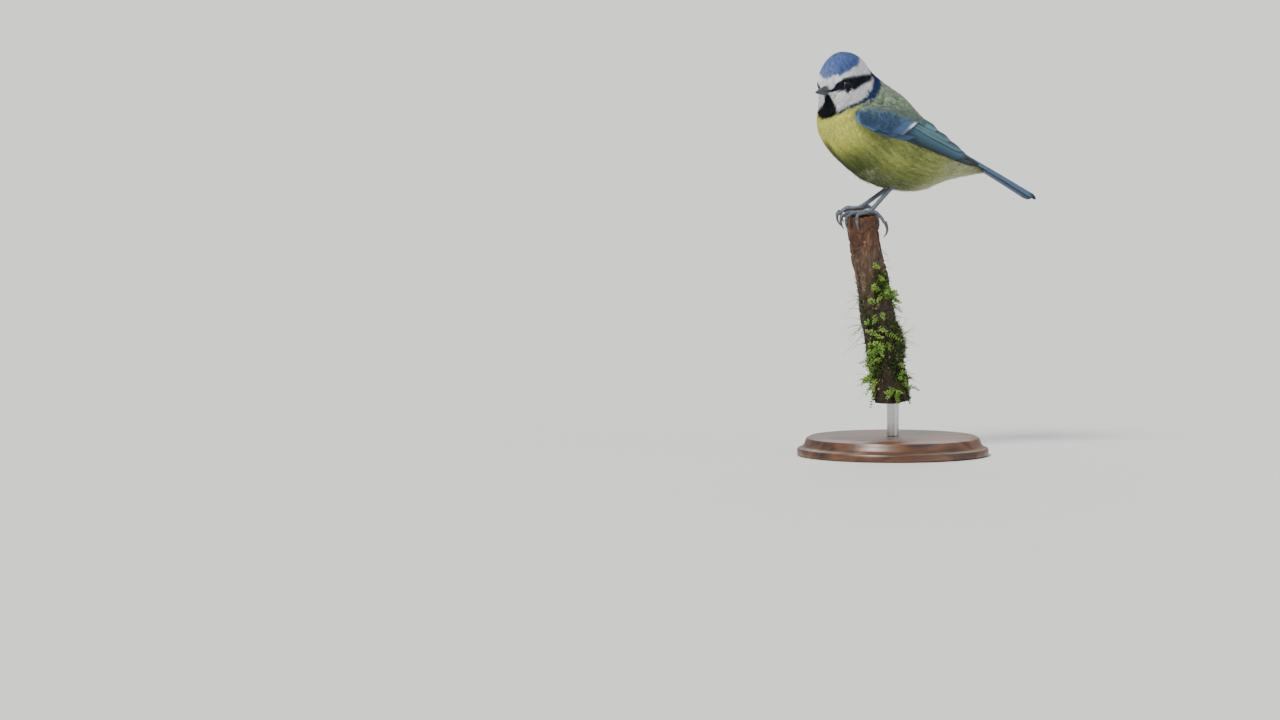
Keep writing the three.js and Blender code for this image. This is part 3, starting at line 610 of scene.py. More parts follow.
def tuftMesh(name, place, paintAt, length, lift, width, spread, count, uvRoot):
    # place(forwards, sideways, height) gives points, all in millimetres from each tuft's root
    tufts = len(length)
    fan = np.linspace(-1, 1, count)[None, :] + chance.uniform(*barb["place"], (tufts, count))
    turn = np.radians(spread) * fan
    reach = length[:, None] * (1 - barb["outerShorter"] * fan**2)
    reach = reach * chance.uniform(*barb["reach"], (tufts, count))
    shares = np.array([0.0, 0.5, 1.0])
    curl = chance.uniform(*barb["curl"], (tufts, count))
    forward = reach[..., None] * np.cos(turn)[..., None] * shares
    sideways = reach[..., None] * (np.sin(turn)[..., None] * shares + curl[..., None] * shares**2)
    rise = chance.uniform(*barb["rise"], (tufts, count))[..., None]
    levels = [0 * reach - barb["rootDepth"], 0 * reach - barb["middleDepth"], 0 * reach + lift[:, None]]
    height = np.stack(levels, -1) + rise * np.array([0, 1, 1])
    half = width * np.array(barb["halfWidths"]) * chance.uniform(*barb["widths"], (tufts, count))[..., None]
    points = np.zeros((tufts, count, 7, 3))
    for ring in range(2):
        size = half[..., ring]
        for k, (aside, up) in enumerate(barb["corners"]):
            points[:, :, ring * 3 + k] = place(
                forward[..., ring], sideways[..., ring] + aside * size, height[..., ring] + up * size)
    points[:, :, 6] = place(forward[..., 2], sideways[..., 2], height[..., 2])
    faces = (np.arange(tufts * count) * 7)[:, None, None] + np.array(barb["faces"])
    tone = chance.uniform(*barb["tuftTone"], (tufts, 1, 1)) * chance.uniform(*barb["tone"], (tufts, count, 1))
    base = paintAt(barb["paintedAt"] * forward[..., 2], barb["paintedAt"] * sideways[..., 2])
    # the barbs' colours with their painted shade at the root and painted light at the tip
    shade = base[:, :, None, :] * (tone * np.array(barb["shades"]))[..., None]
    patch = barb["patch"]
    across = np.arange(count)[:, None] / count * patch + patch / 10 * np.array([0, 1, 0.5, 0, 1, 0.5, 0.5])
    lengthwise = patch / 2 * np.array([0, 0, 0, 1, 1, 1, 2]) + np.zeros((tufts, count, 1))
    uv = uvRoot[:, None, None, :] + np.stack([across + np.zeros((tufts, 1, 1)), lengthwise], -1)
    return meshOf(name, points + perchTop, [faces.reshape(-1, 3)], coatMaterial,
                  np.clip(shade, 0, 1).reshape(-1, 3), {"OFBake": uv.reshape(-1, 2)})


def coatPiece(name, alongRange, degreeRange, count, shortest, longest):
    along, angle = scatter(alongRange, degreeRange, count)
    root, _, lengthwise, around = bodyFrame(along, angle)
    ahead = unit(lengthwise) * (1.2 * shortest)
    keep = clearOfEyes(root, 2.1) & clearOfEyes(root + ahead, 1.9)
    along, angle, lengthwise, around = along[keep], angle[keep], lengthwise[keep], around[keep]
    perAlong = np.maximum(np.linalg.norm(lengthwise, axis=-1), 1.5)[:, None]
    perAngle = np.maximum(np.linalg.norm(around, axis=-1), 1.2)[:, None]
    grow = smoothstep(alongRange[0], min(alongRange[1], alongRange[0] + 2.5), along)
    length = (shortest + (longest - shortest) * grow) * chance.uniform(0.85, 1.15, len(along))
    drift = np.radians(chance.normal(0, 8, len(along)))[:, None]

    def place(forward, sideways, height):
        ahead, aside = swung(forward, sideways, drift)
        point, normal, _, _ = bodyFrame(np.minimum(along[:, None] + ahead / perAlong, lastSection - 0.02),
                                        angle[:, None] + aside / perAngle)
        return point + normal * height[..., None]

    pale = coat["pale"].get(name, 0) * chance.random((len(along), 1, 1))

    def paintAt(forward, sideways):
        tone = plumageAt(along[:, None] + forward / perAlong, angle[:, None] + sideways / perAngle)
        return tone + (paint(*coat["fluff"]) - tone) * pale

    low = smoothstep(110, 160, np.degrees(np.abs(angle)))
    fluff = coat["pale"].get(name, 0) + smoothstep(6.5, 8.5, along) * low
    lift = chance.uniform(0.0, 0.35, len(along)) * smoothstep(1.0, 4.0, length)
    lift = lift + fluff * chance.uniform(0, 0.9, len(along))
    width = coat["barbWidth"] * smoothstep(0.0, 4.5, length)
    uvRoot = np.stack([(angle / tau) % 1 * 0.99, along / lastSection * 0.99], -1)
    return tuftMesh(name, place, paintAt, length, lift, width[:, None, None],
                    coat["spread"], coat["barbs"], uvRoot)


for name, values in coat["regions"].items():
    show(coatPiece(name, *values), "coat")
print("coat made")


# Wings: a folded wing lies on its own rounded surface, and each feather's place is given in side view
wing = {
    "surface": [
        (-15, 45, -15, 45, 0), (-5, 53, -12, 38, 12.6), (4, 54, -7, 31, 16.0), (13, 51.5, -1, 25, 17.5),
        (22, 46.2, 7, 19, 17.4), (30, 40.2, 17, 15, 15.6), (37, 34.9, 27, 13, 12.5),
        (44, 29.6, 37, 12.5, 8.9), (50, 25.2, 45, 12.5, 6.4), (56, 21.2, 52, 12, 5),
        (61, 17.4, 59, 11, 3.6), (65, 12, 65, 12, 0),
    ],
    "thickness": 0.16,
    "padRings": (24, 18),
    "padPaint": (48, 70, 106),
    "hugs": (2.0, 5.0),  # drawn in to the body up to the first distance, and free of it from the second
    "clear": 0.3,  # distance from the body where it is drawn in
    "barLevel": 1.45,  # the row whose tips make the white bar
    # by a row's height: how much darker its lowest feather is painted, as painted shade on the lower side of
    # the folded wing
    "shade": {0.8: 0.82, 0.45: 0.5, 1.2: 0.25, 1.45: 0.35, 1.65: 0.35},
    # name: feathers, width, height over the surface, tilt, root line, tip line,
    # and the colours of outer web, inner web, tip and edge
    "rows": {
        "primaries": (8, 3.2, 0.45, 0.5, [(15, 35.4), (8, 34.2)],
                      [(47.2, 22.6), (51.2, 21.4), (53.9, 20.2), (49.4, 20.4)],
                      (46, 58, 70), (32, 36, 42), (42, 44, 46), (84, 98, 108)),
        "secondaries": (7, 3.4, 0.8, 0.6, [(18, 39), (11.5, 34.9)],
                        [(46.2, 24.6), (45.2, 23.4), (41.8, 22.8)],
                        (66, 104, 124), (34, 46, 58), (60, 84, 96), (88, 122, 138)),
        "tertials": (3, 3.9, 1.2, 0.6, [(20.5, 40.6), (17, 38.8)], [(31.4, 36), (37.6, 31.1), (43.2, 26.6)],
                     (88, 124, 136), (52, 72, 84), (94, 122, 132), (112, 144, 152)),
        "primaryCoverts": (5, 2.1, 0.9, 0.5, [(4, 36.2), (1, 35.4)], [(19.4, 32.6), (15.6, 31.6)],
                           (44, 62, 92), (36, 44, 60), (40, 54, 80), (70, 92, 122)),
        "alula": (3, 2.0, 1.2, 0.4, [(-2, 38.6), (-3, 37.8)], [(11.2, 33.6), (8.2, 33.0)],
                  (46, 66, 100), (38, 48, 66), (44, 58, 84), (84, 108, 140)),
        "greaterCoverts": (9, 2.4, 1.45, 0.6, [(10, 41.8), (2.5, 37.2)],
                           [(20.2, 38.9), (17, 36.8), (13.4, 34.4)],
                           (66, 96, 130), (50, 72, 100), (236, 240, 244), (80, 110, 146)),
        "medianCoverts": (9, 2.3, 1.65, 0.6, [(5.5, 42.6), (-2.5, 39)],
                          [(13.6, 40.2), (10.2, 38), (6.8, 35.4)],
                          (72, 102, 140), (56, 80, 112), (76, 106, 144), (86, 116, 152)),
        "lesserCoverts": (9, 2.1, 1.8, 0.5, [(1.5, 43.4), (-5.2, 40)],
                          [(8.6, 41.6), (5.2, 39.2), (1.4, 36.4)],
                          (74, 102, 136), (58, 82, 112), (78, 108, 142), (86, 116, 150)),
        "shoulder": (8, 2.0, 1.75, 0.4, [(-3, 43.6), (-7, 41.6)], [(4, 42.8), (0.8, 40.4), (-2.6, 38)],
                     (78, 106, 136), (62, 86, 114), (82, 110, 140), (90, 118, 148)),
    },
}


def surfaceTree(pointAt, low, high, rows, columns):
    point = pointAt(*ringGrid(low, high, rows, columns))
    return BVHTree.FromPolygons(point.reshape(-1, 3).tolist(), gridFaces(rows, columns, True).tolist())


def wingPoint(share, angle):
    return ovalPoint(curveThrough(wing["surface"], share), angle)


wingSurface = surfaceTree(wingPoint, 0, 1, 160, 160)
bodySurface = surfaceTree(bodyPoint, 0.05, lastSection - 0.05, 140, 120)


def onWing(x, z, out, side):
    # places on a wing from side view, as arrays, with the height over the wing's surface, which is drawn
    # in to the body where it lies close to it; side is 1 for the left wing and -1 for the right
    points = np.zeros(x.shape + (3,))
    side = np.broadcast_to(side, x.shape)
    for index in np.ndindex(x.shape):
        hit, normal, _, _ = wingSurface.ray_cast(Vector((x[index], -60, z[index])), Vector((0, 1, 0)))
        if hit is None:
            hit, normal, _, _ = wingSurface.find_nearest(Vector((x[index], -4, z[index])))
        if normal.y > 0:
            normal = -normal
        hit.y *= side[index]
        normal.y *= side[index]
        nearest, _, _, distance = bodySurface.find_nearest(hit)
        room = distance if (hit - nearest).dot(normal) > 0 else -distance
        if distance < wing["hugs"][1]:
            hit -= normal * (room - wing["clear"]) * (1 - float(smoothstep(*wing["hugs"], distance)))
        points[index] = np.array(hit + normal * float(out[index]))
    return points


# Feather: its shaft stands up, its webs fall away from it, and shaft and outer edge have their own tones
feather = {"shaft": 0.09, "shaftWidth": 0.035, "fall": 0.1, "edge": 0.8, "shaftTone": 0.35, "shaftPaint": 0.6}


def vane(place, columns, rows, thickness, paints, tipShare, webs=0.5):
    # place(u, v) gives the outer face's points; the inner face lies under them
    u, v = np.meshgrid(np.linspace(0, 1, columns), np.sin(np.linspace(0, 0.5 * np.pi, rows)))
    top = place(u, v)
    normal = unit(np.cross(np.gradient(top, axis=1), np.gradient(top, axis=0)))
    if normal[rows // 2, columns // 2, 1] > 0.3:
        normal = -normal
    shaft = np.exp(-(((u - webs) / feather["shaftWidth"]) ** 2))[..., None]
    ridge = np.abs(u - webs)[..., None]
    top = top + normal * (feather["shaft"] * shaft * (1.1 - v[..., None]) - feather["fall"] * ridge)
    outer, inner, tip, edge = paints
    colour = mix(np.zeros((rows, columns, 3)) + outer, inner, smoothstep(webs - 0.05, webs + 0.25, u))
    colour = mix(colour, edge, (1 - smoothstep(0.0, 0.16, u)) * feather["edge"])
    colour = mix(colour, tip, smoothstep(1 - tipShare - 0.05, 1 - 0.4 * tipShare, v))
    onShaft = shaft[..., 0] * feather["shaftPaint"] * (1 - smoothstep(0.85, 1, v))
    colour = mix(colour, inner * feather["shaftTone"], onShaft)
    points = np.vstack([top.reshape(-1, 3), (top - normal * thickness).reshape(-1, 3)])
    uv = np.stack([u, v], -1).reshape(-1, 2)
    return points, plateFaces(rows, columns), np.vstack([colour.reshape(-1, 3)] * 2), np.vstack([uv, uv])


def vaneHalf(v, width, flare, roundFrom, roundOver, least):
    # half of a vane's width along it: narrow at the root, and rounded off at the tip
    rounding = np.clip(1 - (np.clip(v - roundFrom, 0, 1) / roundOver) ** 2, least, 1)
    return 0.5 * width * np.minimum(0.5 + flare * v, 1) * np.sqrt(rounding)


def vanesMesh(name, vanes, material):
    points, faces, paints, uvs, count = [], [], [], [], 0
    for number, (vertices, quads, colour, uv) in enumerate(vanes):
        points.append(vertices)
        faces.append(quads + count)
        paints.append(colour * chance.uniform(0.9, 1.1))
        uvs.append(uv + [0, 0.37 * number])
        count += len(vertices)
    return meshOf(name, np.vstack(points) + perchTop, [np.vstack(faces)], material,
                  np.clip(np.vstack(paints), 0, 1), {"vane": np.vstack(uvs)})


def wingFeather(row, number, side):
    total, width, level, tilt, roots, tips, *paints = row
    share = number / max(total - 1, 1)
    root = curveThrough(roots, np.array(share))
    tip = curveThrough(tips, np.array(share))
    way = tip - root
    across = np.array([-way[1], way[0]]) / np.linalg.norm(way)
    jitter = chance.uniform(-0.05, 0.05, 2)

    def place(u, v):
        half = vaneHalf(v, width, 1.5, 0.86, 0.142, 0.004)
        x = root[0] + way[0] * v + across[0] * (u - 0.5) * 2 * half + jitter[0]
        z = root[1] + way[1] * v + across[1] * (u - 0.5) * 2 * half + jitter[1]
        out = level + 0.12 - (1 - v) * 0.3 + (0.5 - u) * tilt + 0.1 * np.sin(np.pi * np.clip(u, 0, 1))
        return onWing(x, z, out, side)

    length = np.linalg.norm(way)
    columns, rows = 9, int(12 + length * 0.45)
    # painted shade: the lower feathers of each row are darker
    dim = 1 - wing["shade"].get(level, 0) * share
    outer, inner, tipColour, edge = (paint(*value) * dim for value in paints)
    if level == wing["barLevel"]:
        # white tips of the greater coverts, made fainter towards the lower edge of the wing by painted shade
        tipColour = mix(tipColour, outer, 0.9 * smoothstep(0.35, 0.7, share))
    tipShare = 0.17 if level == wing["barLevel"] else 0.08
    shades = (outer, inner, tipColour, edge)
    points, faces, colour, uv = vane(place, columns, rows, wing["thickness"], shades, tipShare)
    return points, faces if side > 0 else faces[:, ::-1], colour, uv * [1, length / 30]


def padMesh(side):
    # the flesh and small down of the shoulder, which the coverts lie on
    rows, columns = wing["padRings"]
    v, u = np.meshgrid(np.linspace(0, 1, rows), np.linspace(0, 1, columns), indexing="ij")
    top = curveThrough([(-7.0, 42.8), (-3.4, 43.8), (3, 43.4), (10, 42.4), (17, 41.8)], v)
    foot = curveThrough([(-7.0, 42.0), (-4.0, 37.8), (2.6, 34.0), (9, 32.9), (16, 34.2)], v)
    flat = top + (foot - top) * u[..., None]
    full = np.sqrt(np.sin(np.pi * np.clip(u, 0.04, 0.96))) * np.sqrt(np.sin(np.pi * (0.06 + 0.6 * v)))
    outer, inner = (onWing(flat[..., 0], flat[..., 1], out, side) for out in (1.3 * full, 0 * full - 2.0))
    points = np.vstack([outer.reshape(-1, 3), inner.reshape(-1, 3)])
    quads = plateFaces(rows, columns)[:, ::1 if side > 0 else -1]
    return points, quads, plain(len(points), wing["padPaint"]), np.zeros((len(points), 2))


for name, side in (("left", 1), ("right", -1)):
    vanes = [padMesh(side)]
    for row in wing["rows"].values():
        vanes += [wingFeather(row, number, side) for number in range(row[0] - 1, -1, -1)]
    show(vanesMesh(f"{name}Wing", vanes, flightMaterial), "flight_feathers", f"wing_{name}")
print("wings made")


# Soft feathers on the wing: scapulars that hide its upper edge, and the small blue ones of the shoulder
softOnWing = {
    # name: upper line, lower line, tufts, shortest and longest barb, lift at the upper line and what the
    # lower one adds, way of the barbs, colours of both lines
    "scapulars": ([(-7, 45.2), (0, 46.8), (9, 46.0), (17, 43.6), (25, 39.6)],
                  [(-7, 43.4), (1, 43.0), (9, 42.0), (17, 40.8), (23, 38.8)],
                  1700, 3.6, 5.4, 0.7, 1.2, (0.91, -0.41), (144, 160, 138), (116, 136, 134)),
    "shoulderFeathers": ([(-7.4, 43.6), (-3, 43.9), (2, 43.4), (7, 42.2), (11, 41.0)],
                         [(-7.4, 42.0), (-5, 39.6), (-2, 38.0), (2.5, 37.0), (7, 36.8)],
                         600, 2.0, 3.2, 2.0, 0.2, (0.9, -0.43), (84, 110, 138), (66, 92, 124)),
}


def softFeathers(name, upper, lower, tufts, shortest, longest, lift, lowerLift, way,
                 upperColour, lowerColour):
    along = chance.uniform(0, 1, tufts)
    top = curveThrough(upper, along)
    share = chance.random(tufts)[:, None]
    root = top + (curveThrough(lower, along) - top) * share
    side = chance.choice([-1, 1], tufts)
    length = chance.uniform(shortest, longest, tufts)
    drift = np.radians(chance.normal(-2, 6, tufts))[:, None]

    def place(forward, sideways, height):
        ahead, aside = swung(forward, sideways, drift)
        x = root[:, None, 0] + ahead * way[0] - aside * way[1]
        z = root[:, None, 1] + ahead * way[1] + aside * way[0]
        out = height + (lift + lowerLift * share) * smoothstep(-9, -4, x) * (1 - 0.7 * smoothstep(20, 30, x))
        return onWing(x, z, out, side[:, None])

    def paintAt(forward, sideways):
        tone = mix(plain(tufts, upperColour), paint(*lowerColour), share[:, 0])
        return tone[:, None] + np.zeros(forward.shape + (1,))

    uvRoot = np.stack([0.99 * along, 0.99 * share[:, 0]], -1)
    return tuftMesh(name, place, paintAt, length, 0.2 + 0 * length, 0.1, 17, 8, uvRoot)


for name, values in softOnWing.items():
    show(softFeathers(name, *values), "coat")
print("soft feathers of the wing made")


# Tail: six pairs, the middle one on top
tail = {
    "length": 47.4, "root": (36.5, 29.4), "slope": 27.6, "droop": 1.4, "pairs": 6,
    "width": 4.2, "spread": 0.42, "roof": 15, "step": 0.26,
    "outer": (66, 98, 142), "inner": (36, 52, 78), "tip": (48, 66, 92), "edge": (112, 138, 160),
}


def tailVane(side, number):
    share = number / (tail["pairs"] - 1)
    length = tail["length"] - 1.6 * (1 - share) ** 2 - 1.2 * share**2
    slope = np.radians(tail["slope"])

    def place(u, v):
        half = vaneHalf(v, tail["width"], 1.2, 0.93, 0.0715, 0.01)
        middle = (0.4 + 0.18 * number) * (1 - v) + (1.2 + tail["spread"] * number) * v
        y = side * (middle + (0.5 - u) * 2 * half)
        roof = np.tan(np.radians(tail["roof"])) * np.sqrt(y**2 + 0.5) * (0.4 + 0.6 * v)
        up = -roof - tail["step"] * number + 0.2
        along = v * length
        sunk = up - tail["droop"] * (along / tail["length"]) ** 2
        z = tail["root"][1] - along * np.sin(slope) + sunk * np.cos(slope)
        return np.stack([tail["root"][0] + along * np.cos(slope) + up * np.sin(slope), y, z], -1)

    paints = [paint(*tail[key]) for key in ("outer", "inner", "tip", "edge")]
    points, faces, colour, uv = vane(place, 9, 34, 0.2, paints, 0.05, 0.42)
    return points, faces if side > 0 else faces[:, ::-1], colour, uv * [1, 1.6]


tailVanes = [tailVane(side, number) for number in range(tail["pairs"] - 1, -1, -1) for side in (1, -1)]
show(vanesMesh("tailFan", tailVanes, flightMaterial), "flight_feathers", "tail")
print("tail made")


# Eyes
eye = {"radius": 2.3, "middle": (3.2, 0, 0.2), "lidOut": 1.74, "lidRadius": 1.52, "lidThickness": 0.2}


def eyeMaterial():
    material, tree, shader = newMaterial(
        "eye", Roughness=0.1, Coat_Weight=0.1, Coat_Roughness=0.03, Specular_IOR_Level=0.12)
    uneven = useGroup(tree, mottle, Colour=(0.003, 0.003, 0.004, 1), Scale=1800, Strength=0.9)
    wire(tree, (uneven, "Colour", shader, "Base Color"))
    return material


def lidMaterial():
    material, tree, shader = newMaterial("lid", Roughness=0.6)
    tone = useGroup(tree, mottle, Colour=(0.02, 0.024, 0.03, 1), Scale=2500, Strength=0.8)
    bumps = useGroup(tree, grain, Scale=3000, Strength=0.5)
    wire(tree, (tone, "Colour", shader, "Base Color"), (bumps, "Normal", shader, "Normal"))
    return material


def ballMesh(name, centre, radius, material):
    rows, columns = 40, 64
    tilt, turn = ringGrid(0.02, np.pi - 0.02, rows, columns)
    points = np.stack([np.sin(tilt) * np.cos(turn), np.sin(tilt) * np.sin(turn), np.cos(tilt)], -1)
    points = np.vstack([points.reshape(-1, 3), [0, 0, 1], [0, 0, -1]]) * radius + centre
    return meshOf(name, points, closedRings(rows, columns, True), material)


def lidMesh(name, centre, outwards, radius, thickness, material):
    around, across = 60, 14
    turn = np.linspace(0, tau, around, endpoint=False)
    side = unit(np.cross(outwards, [0, 0, 1]))
    top = np.cross(side, outwards)
    angle = np.arange(across) / across * tau
    ring = side * np.cos(turn)[:, None] + top * np.sin(turn)[:, None] * 0.94
    rough = 1 + 0.12 * np.sin(14 * turn)[:, None, None]
    points = centre + ring[:, None] * (radius + thickness * np.cos(angle))[None, :, None]
    points = points + outwards * (thickness * np.sin(angle))[None, :, None] * rough
    faces = gridFaces(around + 1, across, True) % (around * across)
    return meshOf(name, points.reshape(-1, 3), [faces], material)


ballMaterial, rimMaterial = eyeMaterial(), lidMaterial()
for name in ("left", "right"):
    centre = eyeCentres[name] + perchTop
    outwards = unit(eyeCentres[name] - headPoint(*eye["middle"]))
    show(ballMesh(f"{name}Eye", centre, eye["radius"], ballMaterial), "eye", f"eye_{name}")
    rim = centre + outwards * eye["lidOut"]
    show(lidMesh(f"{name}Lid", rim, outwards, eye["lidRadius"], eye["lidThickness"], rimMaterial), "coat")
print("eyes made")


# Bill
bill = {
    "length": 8.6, "depth": 4.2, "width": 4.0, "root": 8.3, "drop": -2.2, "rise": 1.2, "nostril": 11.8,
    "shares": (0.44, 0.56),  # of the depth, for the lower and the upper half
    "pitLength": 0.42, "pitAt": 0.75, "pitWidth": 0.16, "pitDepth": 0.28,  # the nostril's pit
}


def hornMaterial(name, first, second, scale):
    # mottled horn with small bumps
    material, tree, shader = newMaterial(name, Roughness=0.38)
    place = addNode(tree, "ShaderNodeTexCoord")
    noise = addNode(tree, "ShaderNodeTexNoise", Scale=scale, Detail=5)
    ramp = rampNode(tree, (0.35, paint(*first)), (0.7, paint(*second)))
    bumps = useGroup(tree, grain, Scale=scale * 2, Strength=0.35)
    wire(
        tree,
        (place, "Object", noise, "Vector"), (noise, "Fac", ramp, "Fac"),
        (ramp, "Color", shader, "Base Color"), (bumps, "Normal", shader, "Normal"),
    )
    return material


def billHalf(name, upper, material):
    rows, columns = 44, 33
    sign = 1 if upper else -1
    t = np.linspace(0, 1, rows)[:, None]
    angle = np.linspace(-np.pi / 2, np.pi / 2, columns)
    taper = (1 - t**1.6) ** 0.75 + 0.02
    rise = bill["shares"][upper] * bill["depth"] * taper * np.cos(angle)
    aside = 0.5 * bill["width"] * taper * np.sin(angle) * (1 - 0.12 * (1 - t) * (not upper))
    reach = bill["root"] + bill["length"] * t
    pitAlong = (reach - bill["nostril"]) / bill["pitLength"]
    pitRound = (np.abs(angle) - bill["pitAt"]) / bill["pitWidth"]
    swell = 1 - bill["pitDepth"] * np.exp(-pitAlong**2 - pitRound**2) * upper
    forward = reach + 0 * angle + sign * 0.25 * t**4
    edge = bill["drop"] + bill["rise"] * t - 0.1 + sign * 0.06
    outer = headPoint(forward, aside * swell, edge + sign * rise * swell)
    lip = headPoint(forward, aside * 0.92, edge + 0 * rise + sign * 0.02)
    points = np.vstack([outer.reshape(-1, 3), lip.reshape(-1, 3)]) + perchTop
    return meshOf(name, points, [plateFaces(rows, columns)], material)


billMaterial = hornMaterial("billHorn", (38, 42, 48), (70, 76, 84), 2600)
lowerMaterial = hornMaterial("billHornPale", (58, 62, 68), (98, 104, 110), 2600)
show(billHalf("upperBill", True, billMaterial), "horn", "bill_upper")
show(billHalf("lowerBill", False, lowerMaterial), "horn", "bill_lower")
print("bill made")


# Legs and claws: the solids themselves, rounded, with scales in their material
legs = {
    "shankStretch": 1.14, "clawStretch": 1.12, "swell": 0.00012,
    "legVoxel": 0.00015, "legSmoothing": 2, "clawVoxel": 0.0001, "clawSmoothing": 1,
}


def scaleMaterial():
    material, tree, shader = newMaterial("legScales", Roughness=0.5)
    place = addNode(tree, "ShaderNodeTexCoord")
    cells = addNode(tree, "ShaderNodeTexVoronoi", Scale=1500, feature="DISTANCE_TO_EDGE")
    ramp = rampNode(tree, (0, paint(62, 68, 78)), (0.16, paint(92, 100, 112)))
    uneven = useGroup(tree, mottle, Scale=500, Strength=0.6)
    bump = addNode(tree, "ShaderNodeBump", Strength=0.6, Distance=0.0002)
    wire(
        tree,
        (place, "Object", cells, "Vector"), (cells, "Distance", ramp, "Fac"),
        (ramp, "Color", uneven, "Colour"), (uneven, "Colour", shader, "Base Color"),
        (cells, "Distance", bump, "Height"), (bump, "Normal", shader, "Normal"),
    )
    return material


def stretched(node, by, fromTip=False):
    # the solid's own faces, made a little longer so that it reaches into its neighbours
    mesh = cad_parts[node].data
    points = np.array([vertex.co for vertex in mesh.vertices]) * 1000
    middle = points.mean(axis=0)
    way = np.linalg.svd(points - middle)[2][0]
    if fromTip:
        along = (points - middle) @ way
        ends = [points[along.argmin()], points[along.argmax()]]
        middle = min(ends, key=lambda end: end[2])
        points = middle + (points - middle) * by
    else:
        points = points + np.outer(((points - middle) @ way) * (by - 1), way)
    return points, [np.array([list(face.vertices)]) for face in mesh.polygons]


def rounded(name, parts, material, slotName, voxel, steps, *nodes):
    points, faces = merged(parts)
    piece = meshOf(name, points, faces, material)
    remesh = piece.modifiers.new("even", "REMESH")
    remesh.mode, remesh.voxel_size, remesh.use_smooth_shade = "VOXEL", voxel, True
    relax = piece.modifiers.new("relax", "SMOOTH")
    relax.factor, relax.iterations = 0.5, steps
    swell = piece.modifiers.new("swell", "DISPLACE")
    swell.strength, swell.mid_level = legs["swell"], 0
    return show(piece, slotName, *nodes)


legMaterial = scaleMaterial()
clawMaterial = hornMaterial("clawHorn", (48, 50, 54), (104, 106, 110), 900)
for side in ("left", "right"):
    leg = [stretched(f"foot_{side}", 1.0), stretched(f"tarsus_{side}", legs["shankStretch"])]
    rounded(f"{side}Leg", leg, legMaterial, "leg", legs["legVoxel"], legs["legSmoothing"],
            f"foot_{side}", f"tarsus_{side}")
    for number in range(1, 5):
        claw = [stretched(f"claw_{side}_{number}", legs["clawStretch"], True)]
        rounded(f"{side}Claw{number}", claw, clawMaterial, "horn", legs["clawVoxel"], legs["clawSmoothing"],
                f"claw_{side}_{number}")
print("feet and claws made")


# Thighs: short soft feathers that hang down to the bare shank
thigh = {
    "left": ((20, -6.5, 19.5), (13.8, -5.0, 12.9), (3.4, -3.2)),
    "right": ((20, 6.5, 19.5), (15.3, 4.6, 11.4), (1.3, 2.8)),
    "reach": 1.2, "fluff": 5.5, "wide": 3.4, "narrow": 0.9,
    "top": (166, 168, 112), "low": (196, 194, 172), "tufts": 220, "lengths": (2.2, 3.8),
}


def thighLine(side):
    top, ankle, foot = thigh[side]
    way = unit(np.array([*foot, 1.6]) - np.array(ankle))
    return np.array(top, float), np.array(ankle) + way * thigh["reach"]


def thighTufts(side):
    top, low = thighLine(side)
    way = unit(low - top)
    aside = unit(np.cross(way, [0, 0, 1]))
    front = np.cross(way, aside)
    tufts = thigh["tufts"]
    at = chance.random(tufts)
    turn = chance.uniform(0, tau, tufts)
    length = chance.uniform(*thigh["lengths"], tufts)
    size = thigh["wide"] + (thigh["narrow"] - thigh["wide"]) * at
    start = low - way * thigh["fluff"]

    def place(forward, sideways, height):
        about = turn[:, None] + sideways / np.maximum(size, 0.8)[:, None]
        ring = aside * np.cos(about)[..., None] + front * np.sin(about)[..., None]
        shrink = np.maximum(size[:, None] - 0.35 * forward, 0.3) + 0.5 * height
        return start + way * (forward + thigh["fluff"] * at[:, None])[..., None] + ring * shrink[..., None]

    def paintAt(forward, sideways):
        tone = mix(plain(tufts, thigh["top"]), paint(*thigh["low"]), at)
        return tone[:, None] + np.zeros(forward.shape + (1,))

    uvRoot = np.stack([0.99 * turn / tau, 0.99 * at], -1)
    return tuftMesh(f"{side}ThighFeathers", place, paintAt, length, 0.3 + 0 * length, 0.1, 20, 7, uvRoot)


for side in ("left", "right"):
    top, low = thighLine(side)
    points, faces = tube(np.linspace(top, low, 10), np.linspace(thigh["wide"], thigh["narrow"], 10), 24)
    core = meshOf(f"{side}Thigh", points + perchTop, faces, skinMaterial, plain(len(points), thigh["top"]))
    show(core, "coat", f"thigh_{side}")
    show(thighTufts(side), "coat")
print("thighs made")


